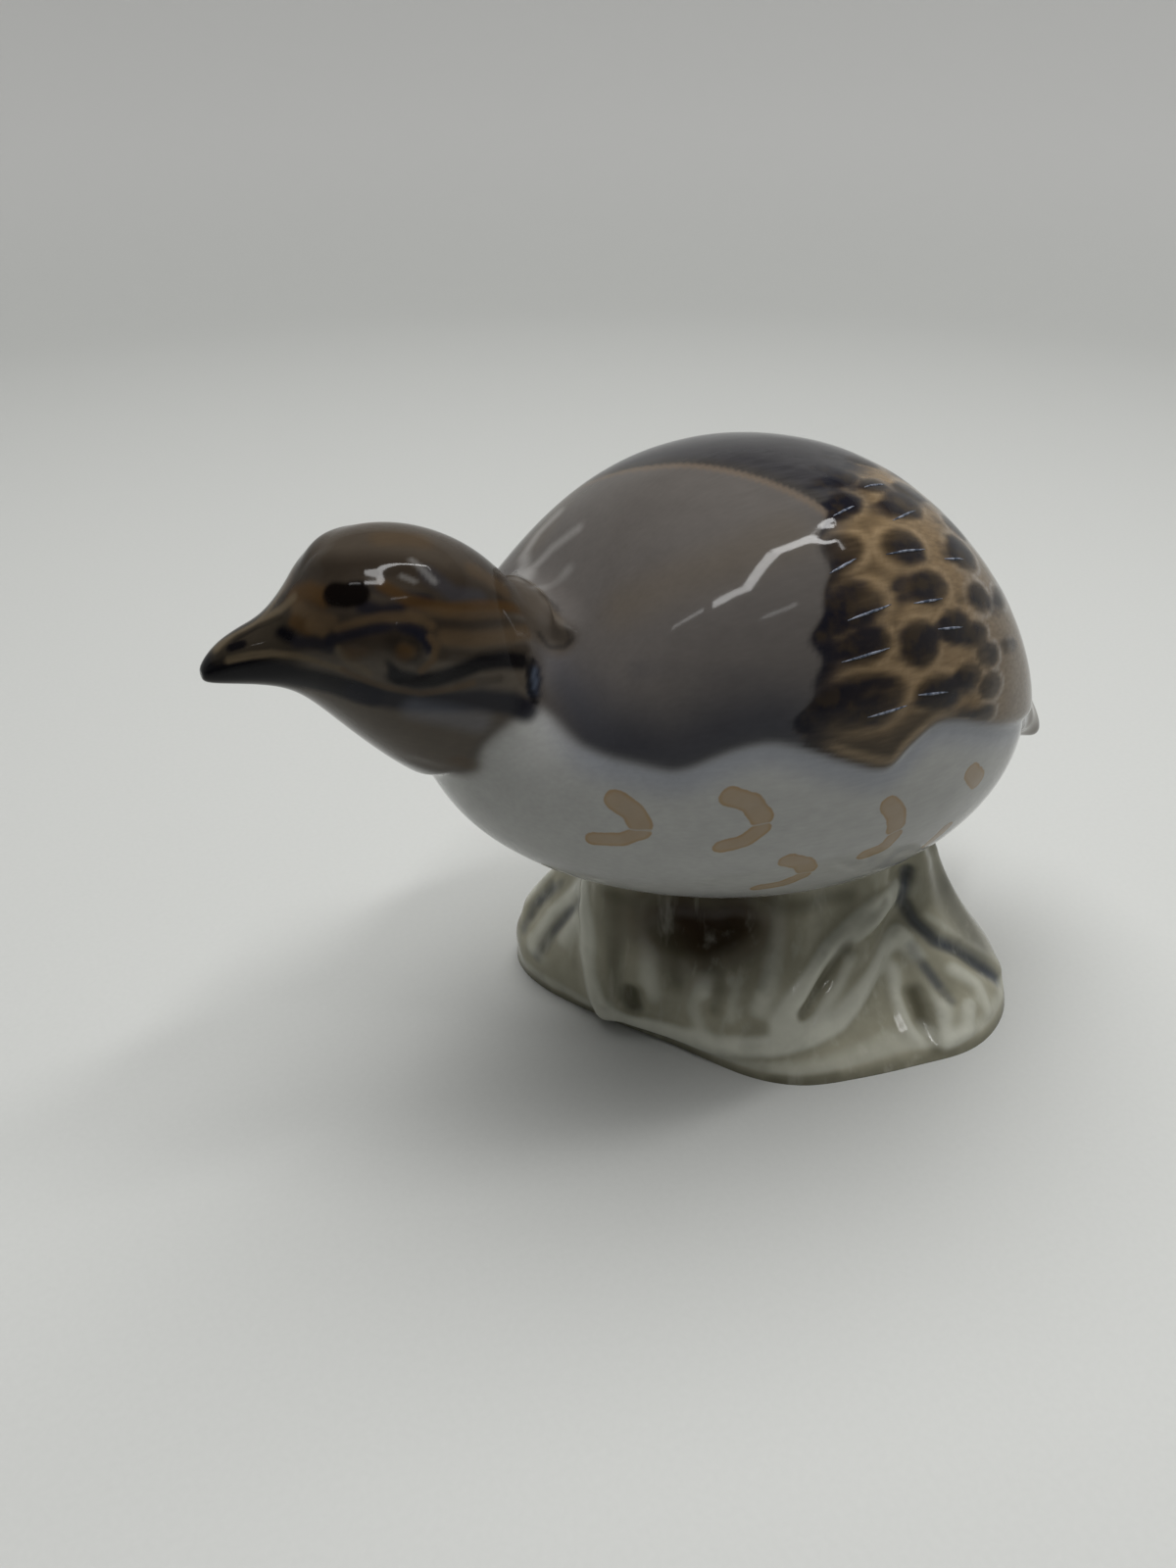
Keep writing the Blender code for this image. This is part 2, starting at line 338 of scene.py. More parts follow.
def store(mesh: bpy.types.Mesh, name: str, values: np.ndarray) -> None:
    """Keeps one number, or one colour, at each vertex for the material to read.

    Args:
        mesh: The mesh to add to.
        name: Name of the layer.
        values: One number for each vertex, or one row of three.
    """
    if values.ndim == 1:
        layer = mesh.attributes.new(name, "FLOAT", "POINT")
        layer.data.foreach_set("value", values.astype(np.float32))
        return
    layer = mesh.attributes.new(name, "FLOAT_COLOR", "POINT")
    colours = np.concatenate([values, np.ones((len(values), 1))], axis=1)
    layer.data.foreach_set("color", colours.astype(np.float32).ravel())


def shaped(rows: Rows) -> np.ndarray:
    """A table of plain rows as an array."""
    return np.array(rows, float)


def softened(heights: np.ndarray, times: int) -> np.ndarray:
    """The heights of a closed tube's points smoothed over their neighbours along and around it.

    Args:
        heights: One value, or row of values, for each point.
        times: How many times.

    Returns:
        The smoothed values.
    """
    for _ in range(times):
        ends = np.concatenate([heights[:1], heights, heights[-1:]])
        heights = ends[:-2] / 4 + heights / 2 + ends[2:] / 4
        heights = np.roll(heights, 1, axis=1) / 4 + heights / 2 + np.roll(heights, -1, axis=1) / 4
    return heights


def carved(rise: np.ndarray, points: np.ndarray, carving: Carving) -> np.ndarray:
    """A surface's relief with ridges and grooves added.

    Args:
        rise: How far each point stands out before.
        points: The points.
        carving: Path, half-width and height of each ridge, below zero for a groove.

    Returns:
        How far each point stands out after.
    """
    for path, width, height in carving:
        share = np.clip(reach(points, path) / width, 0, 1)
        rise = rise + height * (1 - share**2) ** 2
    return rise


@dataclass(frozen=True)
class Feather:
    """One scalloped feather of the wing: the dark blot painted on it and its raised shaft."""

    blot: Point
    half: Span
    start: Point
    end: Point
    shaft: bool = True

    def local(self, points: np.ndarray) -> tuple[np.ndarray, np.ndarray]:
        """How far each point lies along the feather from its blot, and how far to the side of it.

        Args:
            points: The points.

        Returns:
            Both distances for each point.
        """
        axis = np.subtract(self.end, self.start)
        axis = axis / np.linalg.norm(axis)
        offset = points - np.array(self.blot)
        along = offset @ axis
        aside = np.linalg.norm(offset - along[..., None] * axis, axis=-1)
        return along, aside

    def patch(self, points: np.ndarray) -> np.ndarray:
        """The signed distance inside the feather's dark blot.

        Args:
            points: The points.

        Returns:
            One distance for each point.
        """
        along, aside = self.local(points)
        long, wide = self.half
        reach_back = np.where(along < 0, 1.35 * long + 0.8, long + 0.4)
        share = np.sqrt(np.abs(along / reach_back) ** 2.4 + (aside / (0.86 * wide + 0.2)) ** 2)
        return (1 - share) * (wide + 0.3)

    def web(self, points: np.ndarray) -> np.ndarray:
        """How far inside the feather's rounded web each point lies, 0 at its rim and 1 at its middle."""
        along, aside = self.local(points)
        long, wide = self.half
        return 1 - np.sqrt(((along - 0.4) / (long + 2.2)) ** 2 + (aside / (wide + 1.3)) ** 2)


@dataclass
class Bird:
    """The bird's skin: sections from beak to tail, then relief in the clay and underglaze painting."""

    body_length: float = 104.0
    body_width: float = 74.0
    body_height: float = 84.0
    belly_clearance: float = 28.0
    head_length: float = 38.0
    head_width: float = 29.0
    head_height: float = 32.0
    head_ahead: float = 5.0
    head_drop: float = 22.0
    beak_length: float = 12.5
    beak_width: float = 11.5
    beak_depth: float = 12.0
    tail_length: float = 17.5
    tail_width: float = 24.0
    tail_thickness: float = 9.0
    tail_slant: Point = (0.6, 0.0, 0.8)
    beak_tip: float = 0.08
    tail_tip: float = 0.1
    wing_relief: float = 1.5
    feather_relief: float = 0.36
    section_points: int = 10
    rings: int = 300
    turns: int = 320
    head_fineness: float = 0.9
    fine_until: Span = (-48.0, -25.0)

    # Ahead of the root, top, foot and half-width, in shares of the beak's sizes
    beak_shape: Rows = ((0.88, 0.12, -0.06, 0.26), (0.58, 0.44, -0.12, 0.66), (0.02, 0.59, -0.25, 1.00))
    # Top along and up, foot along and down, half-width, in shares of the head's sizes
    head_shape: Rows = (
        (-0.37, 0.40, -0.40, -0.18, 0.64),
        (-0.24, 0.56, -0.25, -0.40, 0.94),
        (0.02, 0.57, -0.11, -0.58, 1.08),
        (0.26, 0.46, -0.04, -0.66, 1.12),
        (0.46, 0.26, 0.02, -0.72, 1.12),
    )
    # Top along and up, foot along and up, half-width, in shares of the body's sizes
    body_shape: Rows = (
        (-0.33, 0.72, -0.52, 0.48, 0.44),
        (-0.25, 0.84, -0.48, 0.34, 0.66),
        (-0.13, 0.96, -0.36, 0.20, 0.88),
        (0.02, 1.00, -0.19, 0.09, 1.03),
        (0.18, 0.98, 0.02, 0.01, 1.07),
        (0.34, 0.89, 0.23, -0.02, 1.00),
        (0.47, 0.72, 0.40, 0.05, 0.82),
        (0.54, 0.52, 0.50, 0.17, 0.56),
    )
    # Where the tail joins the body, along and up, in shares of the body's sizes
    tail_root: Span = (0.56, 0.34)
    # Behind the root, drop, half-width and half-thickness, in shares of the tail's sizes
    tail_shape: Rows = ((0.34, 0.20, 1.10, 1.30), (0.96, 0.78, 0.66, 0.60))

    # Edge of the coloured coat seen from the side: up the throat, over the shoulder, along the wing
    coat_edge: Line = (
        (-75.0, 78.0), (-60.0, 74.5), (-53.5, 72.5), (-48.5, 70.5), (-45.4, 72.0), (-44.4, 77.0),
            (-41.0, 80.5),
        (-35.4, 82.5), (-31.4, 78.2), (-24.7, 76.1), (-19.9, 75.2), (-14.7, 77.1), (-10.3, 78.4),
            (-5.8, 78.5),
        (-0.3, 76.5), (6.2, 73.2), (13.5, 70.4), (17.8, 73.2), (23.3, 75.4), (29.4, 74.2), (35.5, 71.5),
        (44.0, 68.0), (52.0, 65.0), (62.0, 61.0), (80.0, 50.0),
    )
    # Rear edge of the light cape over the back, seen from above: across, then along
    cape_edge: Line = (
        (-45.0, 20.0), (-20.3, 11.0), (-13.3, 6.5), (-5.1, 1.1), (4.0, -4.7), (17.0, -10.0), (45.0, -14.0),
    )
    # Front edge of the scalloped feathers: degrees down from the spine, round an axis this high, then along
    scallop_axis: float = 70.0
    scallop_edge: Line = (
        (0.0, 33.0), (10.0, 26.0), (24.8, 14.5), (34.8, 9.7), (43.6, 6.3), (51.9, 3.8), (61.7, 1.4),
            (73.3, -1.8),
        (80.0, -2.5), (130.0, -3.0),
    )
    # Size, turns per millimetre of height and start of each wave in that edge
    scallop_waves: Rows = ((0.9, 0.55, 0.7), (0.6, 1.15, 2.1))

    def head_middle(self) -> np.ndarray:
        """The middle of the head."""
        up = self.belly_clearance + self.body_height - self.head_drop
        return np.array((SHIFT[0] - self.body_length / 2 - self.head_ahead, SHIFT[1], up))

    def ring(self, top: np.ndarray, foot: np.ndarray, half_width: float) -> np.ndarray:
        """The corners of one section, counted round from its top.

        Args:
            top: The top of the section.
            foot: Its foot.
            half_width: Half its width.

        Returns:
            The corners.
        """
        shrink = 2 / 3 + math.cos(math.tau / self.section_points) / 3
        turn = np.arange(self.section_points) / self.section_points * math.tau
        up = np.cos(turn)[:, None] * (top - foot) / 2
        across = np.sin(turn)[:, None] * np.array((0.0, half_width, 0.0))
        return (top + foot) / 2 + (up + across) / shrink

    def sections(self, start: np.ndarray, size: Point, table: Rows) -> list[np.ndarray]:
        """The sections of one part of the bird.

        Args:
            start: The place that the shares count from.
            size: The part's length, width and height.
            table: Top along and up, foot along and up, and half-width of each section, in shares.

        Returns:
            The corners of each section.
        """
        length, width, height = size
        rings = []
        for top_x, top_z, foot_x, foot_z, half in table:
            upper = start + (top_x * length, 0, top_z * height)
            lower = start + (foot_x * length, 0, foot_z * height)
            rings.append(self.ring(upper, lower, half * width / 2))
        return rings

    def cage(self) -> Cage:
        """All sections from the beak's tip to the tail's, with a point to close each end.

        Returns:
            The cage.
        """
        middle = self.head_middle()
        root = middle - (self.head_length / 2, 0, 0)
        beak = tuple((-ahead, top, -ahead, foot, width) for ahead, top, foot, width in self.beak_shape)
        start = np.array((*SHIFT, self.belly_clearance))
        rings = [
            *self.sections(root, (self.beak_length, self.beak_width, self.beak_depth), beak),
            *self.sections(middle, (self.head_length, self.head_width, self.head_height), self.head_shape),
            *self.sections(start, (self.body_length, self.body_width, self.body_height), self.body_shape),
        ]
        root = start + (self.tail_root[0] * self.body_length, 0, self.tail_root[1] * self.body_height)
        for behind, drop, width, thickness in self.tail_shape:
            at = root + (behind * self.tail_length, 0, -drop * self.tail_length)
            half = np.array(self.tail_slant) * thickness * self.tail_thickness / 2
            rings.append(self.ring(at + half, at - half, width * self.tail_width / 2))
        tip = rings[0].mean(axis=0) * (1 - self.beak_tip) + rings[1].mean(axis=0) * self.beak_tip
        end = rings[-1].mean(axis=0) * (1 - self.tail_tip) + rings[-2].mean(axis=0) * self.tail_tip
        ends = [np.tile(point, (self.section_points, 1)) for point in (tip, end)]
        return Cage(np.array([ends[0]] * 3 + rings + [ends[1]] * 3))

    def density(self, middles: np.ndarray) -> np.ndarray:
        """How much finer the head's rings lie than the body's."""
        return 1 + self.head_fineness * (1 - ease(middles[:, 0], *self.fine_until))

    def coat(self, points: np.ndarray) -> np.ndarray:
        """The signed distance inside the coloured coat, above the white breast and belly."""
        return above_line(points[..., 0], points[..., 2], smoothed(self.coat_edge))

    def behind_cape(self, points: np.ndarray) -> np.ndarray:
        """The distance behind the rear edge of the light cape."""
        across, along = shaped(smoothed(self.cape_edge)).T
        return points[..., 0] - np.interp(points[..., 1], across, along)

    def scallops(self, points: np.ndarray) -> np.ndarray:
        """The distance behind the front edge of the scalloped feathers.

        Args:
            points: The points.

        Returns:
            One distance for each point.
        """
        degrees = np.degrees(np.arctan2(np.abs(points[..., 1]), points[..., 2] - self.scallop_axis))
        turn, along = shaped(smoothed(self.scallop_edge)).T
        sway = sum(size * np.sin(points[..., 2] * rate + start) for size, rate, start in self.scallop_waves)
        return points[..., 0] - np.interp(degrees, turn, along) + sway

    def build(self, name: str) -> bpy.types.Object:
        """Makes the bird's mesh with its relief and its painted layers.

        Args:
            name: Name of the piece.

        Returns:
            The bird, without a material.
        """
        cage = self.cage()
        last = float(len(cage.corners) - 2)
        along = cage.even_places(self.rings + 2, 1.0, last, self.density)[1:-1]
        around = np.arange(self.turns) / self.turns * self.section_points
        grid = cage.grid(along, around)
        normals = grid_normals(grid)
        grid = grid + BirdRelief(self).rise(grid, normals)[..., None] * normals
        mesh = closed_mesh(name, grid, cage.corners[0, 0], cage.corners[-1, 0])
        places = np.concatenate([grid.reshape(-1, 3), cage.corners[[0, -1], 0]])
        for layer, values in BirdPaint(self).layers(places).items():
            store(mesh, layer, values)
        return placed(name, mesh)


FEATHERS: tuple[Feather, ...] = (
    Feather((17.1, 14.5, 107.9), (4.6, 1.5), (14.1, 15.1, 108.0), (21.6, 13.3, 107.7), False),
    Feather((14.2, 20.0, 105.5), (3.8, 2.0), (12.2, 21.4, 104.7), (16.9, 20.1, 105.1)),
    Feather((24.3, 15.3, 106.1), (2.6, 1.1), (22.1, 16.0, 106.3), (27.4, 14.4, 105.5)),
    Feather((27.2, 18.9, 103.4), (4.8, 2.7), (23.0, 22.1, 102.5), (29.8, 19.2, 102.1)),
    Feather((10.3, 26.1, 101.0), (3.8, 2.4), (7.3, 28.0, 99.1), (12.4, 27.1, 100.1)),
    Feather((21.9, 25.8, 99.8), (4.0, 3.0), (18.3, 26.9, 99.6), (26.7, 25.6, 98.4)),
    Feather((36.1, 23.6, 95.5), (3.6, 3.2), (30.8, 25.9, 96.3), (35.8, 24.6, 94.7)),
    Feather((8.8, 31.9, 94.9), (5.6, 2.9), (7.8, 32.9, 93.6), (16.2, 32.1, 94.2)),
    Feather((24.5, 30.1, 94.4), (3.6, 2.6), (20.7, 31.9, 93.4), (26.8, 30.9, 92.5)),
    Feather((36.2, 28.7, 89.9), (2.8, 2.2), (32.5, 29.7, 91.0), (38.8, 28.0, 88.8), False),
    Feather((28.4, 33.3, 88.6), (3.2, 2.2), (24.4, 34.0, 89.2), (30.2, 33.1, 88.0)),
    Feather((20.0, 35.4, 88.4), (3.0, 3.4), (18.0, 35.5, 88.8), (22.8, 35.1, 88.0), False),
    Feather((9.7, 35.3, 90.1), (3.8, 2.2), (5.5, 35.9, 88.7), (14.1, 35.7, 89.1)),
    Feather((22.5, 38.4, 80.9), (4.0, 2.2), (18.7, 38.8, 81.5), (24.9, 38.2, 80.3)),
    Feather((7.8, 38.6, 82.8), (8.0, 4.0), (8.8, 39.4, 80.3), (16.5, 39.2, 80.4)),
    Feather((33.2, 33.0, 86.1), (2.2, 1.6), (31.3, 33.6, 86.4), (35.7, 32.4, 85.3), False),
    Feather((29.8, 36.7, 81.2), (2.4, 1.6), (28.1, 37.1, 81.4), (32.1, 36.1, 80.8), False),
    Feather((35.6, 34.0, 82.6), (2.4, 1.5), (33.9, 34.5, 83.2), (38.0, 33.4, 81.8), False),
    Feather((35.6, 36.0, 77.9), (2.2, 1.5), (33.6, 36.6, 78.3), (37.4, 35.5, 77.6), False),
    Feather((33.6, 36.4, 73.7), (2.4, 1.4), (31.4, 36.9, 74.1), (35.8, 35.9, 73.3), False),
    Feather((43.8, 25.4, 87.2), (2.4, 1.6), (41.3, 26.7, 88.2), (46.4, 24.2, 85.9), False),
    Feather((34.0, 13.2, 103.6), (3.4, 2.0), (31.4, 14.4, 104.2), (37.4, 12.0, 102.2), False),
    Feather((40.6, 17.4, 97.4), (3.0, 2.2), (38.0, 18.4, 98.6), (44.0, 15.8, 95.8), False),
    Feather((28.6, 6.0, 107.4), (3.2, 1.8), (26.0, 6.4, 107.8), (31.6, 5.6, 106.8), False),
    Feather((38.8, 5.4, 103.0), (3.0, 2.0), (36.0, 6.0, 104.2), (42.0, 4.6, 101.4), False),
    Feather((45.4, 9.6, 97.0), (2.8, 2.0), (43.0, 10.4, 98.8), (48.0, 8.6, 94.8), False),
    Feather((49.4, 1.6, 94.4), (2.6, 2.0), (47.4, 1.8, 96.4), (51.6, 1.4, 91.8), False),
    Feather((50.6, 13.4, 88.8), (2.6, 1.8), (48.6, 14.4, 91.0), (52.8, 12.2, 86.2), False),
    Feather((47.8, 21.4, 84.8), (2.6, 1.8), (45.4, 23.0, 86.6), (50.4, 19.6, 82.6), False),
    Feather((43.4, 28.4, 80.0), (2.6, 1.7), (41.0, 29.8, 81.4), (46.0, 26.6, 78.2), False),
    Feather((54.8, 6.2, 84.0), (2.4, 1.7), (53.2, 7.0, 86.4), (56.4, 5.4, 81.4), False),
    Feather((52.6, 17.4, 79.2), (2.4, 1.6), (50.8, 18.8, 81.2), (54.6, 15.8, 76.8), False),
    Feather((48.4, 24.6, 75.0), (2.4, 1.5), (46.2, 26.2, 76.6), (50.8, 22.8, 73.2), False),
    Feather((57.6, 10.2, 76.0), (2.2, 1.5), (56.2, 11.4, 78.2), (59.2, 9.0, 73.4), False),
)


@dataclass(frozen=True)
class BirdRelief:
    """What is modelled in the bird's clay on top of its plain form."""

    bird: Bird
    eye: Point = (-55.9, 16.2, 94.9)
    eye_half: Span = (4.5, 3.9)
    eye_height: float = 0.55
    eye_groove: float = 0.12
    hood: Point = (-27.28, -0.48, 90.16)
    hood_size: Point = (11.0, 26.0, 7.5)
    hood_pitch: float = 35.0
    hood_blend: float = 0.5
    hood_softening: int = 14
    softening: int = 2
    # Where the wing's lower edge starts and fades out, along the bird, and from where and over what length
    # it grows to full relief
    wing_start: Span = (-36.0, -26.0)
    wing_end: Span = (54.0, 64.0)
    wing_growth: Span = (-28.3, 41.6)
    # Where the scalloped feathers' relief fades towards the tail
    feather_fade: Span = (26.0, 42.0)
    # Where the tail's ridges start, how high they are, half the tail's width and how many ridges it has
    tail_start: Span = (66.0, 72.0)
    tail_ridge: float = 0.25
    tail_half: float = 12.0
    tail_ridges: float = 2.5

    # Path, half-width and height of each ridge, below zero for a groove
    carving: Carving = (
        (((-63.2, 11.8, 95.6), (-59.4, 14.8, 98.2), (-55.4, 15.9, 99.4), (-51.0, 15.6, 97.6),
            (-48.6, 16.1, 94.0)), 1.1, 0.35),
        (((-63.2, 11.9, 95.0), (-60.1, 14.1, 91.6), (-56.9, 15.4, 89.7), (-51.9, 16.6, 89.8),
            (-48.6, 16.1, 93.0)), 1.0, 0.30),
        (((-79.8, 2.4, 92.6), (-75.8, 4.4, 93.6), (-69.8, 7.1, 94.4), (-65.8, 10.1, 93.4)), 0.7, -0.45),
        (((-77.6, 3.0, 95.2), (-74.8, 3.8, 95.6)), 0.8, -0.5),
        (((-34.6, 14.6, 88.2), (-35.3, 15.6, 86.4), (-35.9, 16.4, 84.6)), 1.9, -1.0),
        (((-63.0, 2.0, 105.0), (-59.0, 6.0, 106.0), (-54.0, 8.6, 106.0), (-48.0, 9.4, 104.6)), 3.0, 0.40),
        (((-70.6, 0.0, 98.6), (-69.0, 4.4, 98.8), (-67.6, 7.4, 97.6)), 5.5, -1.1),
        (((-53.2, 10.6, 73.4), (-49.0, 12.6, 71.4), (-45.4, 15.0, 73.6), (-43.6, 17.0, 78.0)), 2.2, -0.35),
    )

    def egg(self, points: np.ndarray, normals: np.ndarray) -> np.ndarray:
        """How far each point moves out to reach the skin of the lip of feathers over the nape.

        Args:
            points: The points.
            normals: Their outward normals.

        Returns:
            One distance for each point, 0 where the lip is out of reach.
        """
        turn = np.array(Matrix.Rotation(math.radians(self.hood_pitch), 3, "Y"))
        half = np.array(self.hood_size) / 2
        start = ((points - self.hood) @ turn) / half
        way = (normals @ turn) / half
        a = (way * way).sum(-1)
        b = (start * way).sum(-1)
        c = (start * start).sum(-1) - 1
        inside = b * b - a * c
        far = (-b + np.sqrt(np.maximum(inside, 0))) / a
        met = (inside > 0) & (far > 0) & (far < 6)
        return np.where(met, far * ease(inside / a, 0.0, 0.22), 0)

    def rise(self, points: np.ndarray, normals: np.ndarray) -> np.ndarray:
        """How far every point of the plain form moves out along its normal.

        Args:
            points: The plain form's points.
            normals: Its outward normals.

        Returns:
            The distance for each point, below zero for a groove.
        """
        half = mirrored(points)
        x = half[..., 0]
        coat = self.bird.coat(points)
        start, length = self.wing_growth
        growth = np.clip(0.4 + 0.6 * (x - start) / length, 0, 1)
        wing = ease(coat, -1.2, 1.0) * ease(x, *self.wing_start) * (1 - ease(x, *self.wing_end))
        wing = wing * ease(np.abs(normals[..., 1]), 0.12, 0.7)
        rise = self.bird.wing_relief * growth * wing
        inside = ease(self.bird.scallops(points), -1.0, 1.5) * ease(coat, 0.5, 2.5)
        bulge = np.zeros_like(x)
        for feather in FEATHERS:
            bulge = np.maximum(bulge, np.clip(feather.web(half) * 2.4, 0, 1) ** 0.7)
        fade = 1 - 0.8 * ease(x, *self.feather_fade)
        rise = rise + inside * self.bird.feather_relief * (bulge - 0.55) * fade
        rise = carved(rise, half, self.carving) + self.eye_rise(half)
        ridges = np.cos(half[..., 1] / self.tail_half * math.tau * self.tail_ridges)
        rise = rise + ease(x, *self.tail_start) * self.tail_ridge * ridges
        lip = softened(self.egg(points, normals) * (x > self.wing_start[0]), self.hood_softening)
        higher = rise + lip + np.sqrt((rise - lip) ** 2 + self.hood_blend**2) - self.hood_blend
        return softened(higher / 2, self.softening)

    def eye_rise(self, half: np.ndarray) -> np.ndarray:
        """How far the eyes stand out, with a fine groove round them.

        Args:
            half: The points, both sides laid over one another.

        Returns:
            One height for each point.
        """
        x, _, z = self.eye
        share = np.hypot((half[..., 0] - x) / self.eye_half[0], (half[..., 2] - z) / self.eye_half[1])
        near = ease(half[..., 1], 8.0, 10.0) * (np.abs(half[..., 0] - x) < 12)
        groove = self.eye_groove * np.exp(-(((share - 1.15) / 0.18) ** 2))
        return near * (self.eye_height * np.sqrt(np.clip(1 - share**2, 0, 1)) - groove)


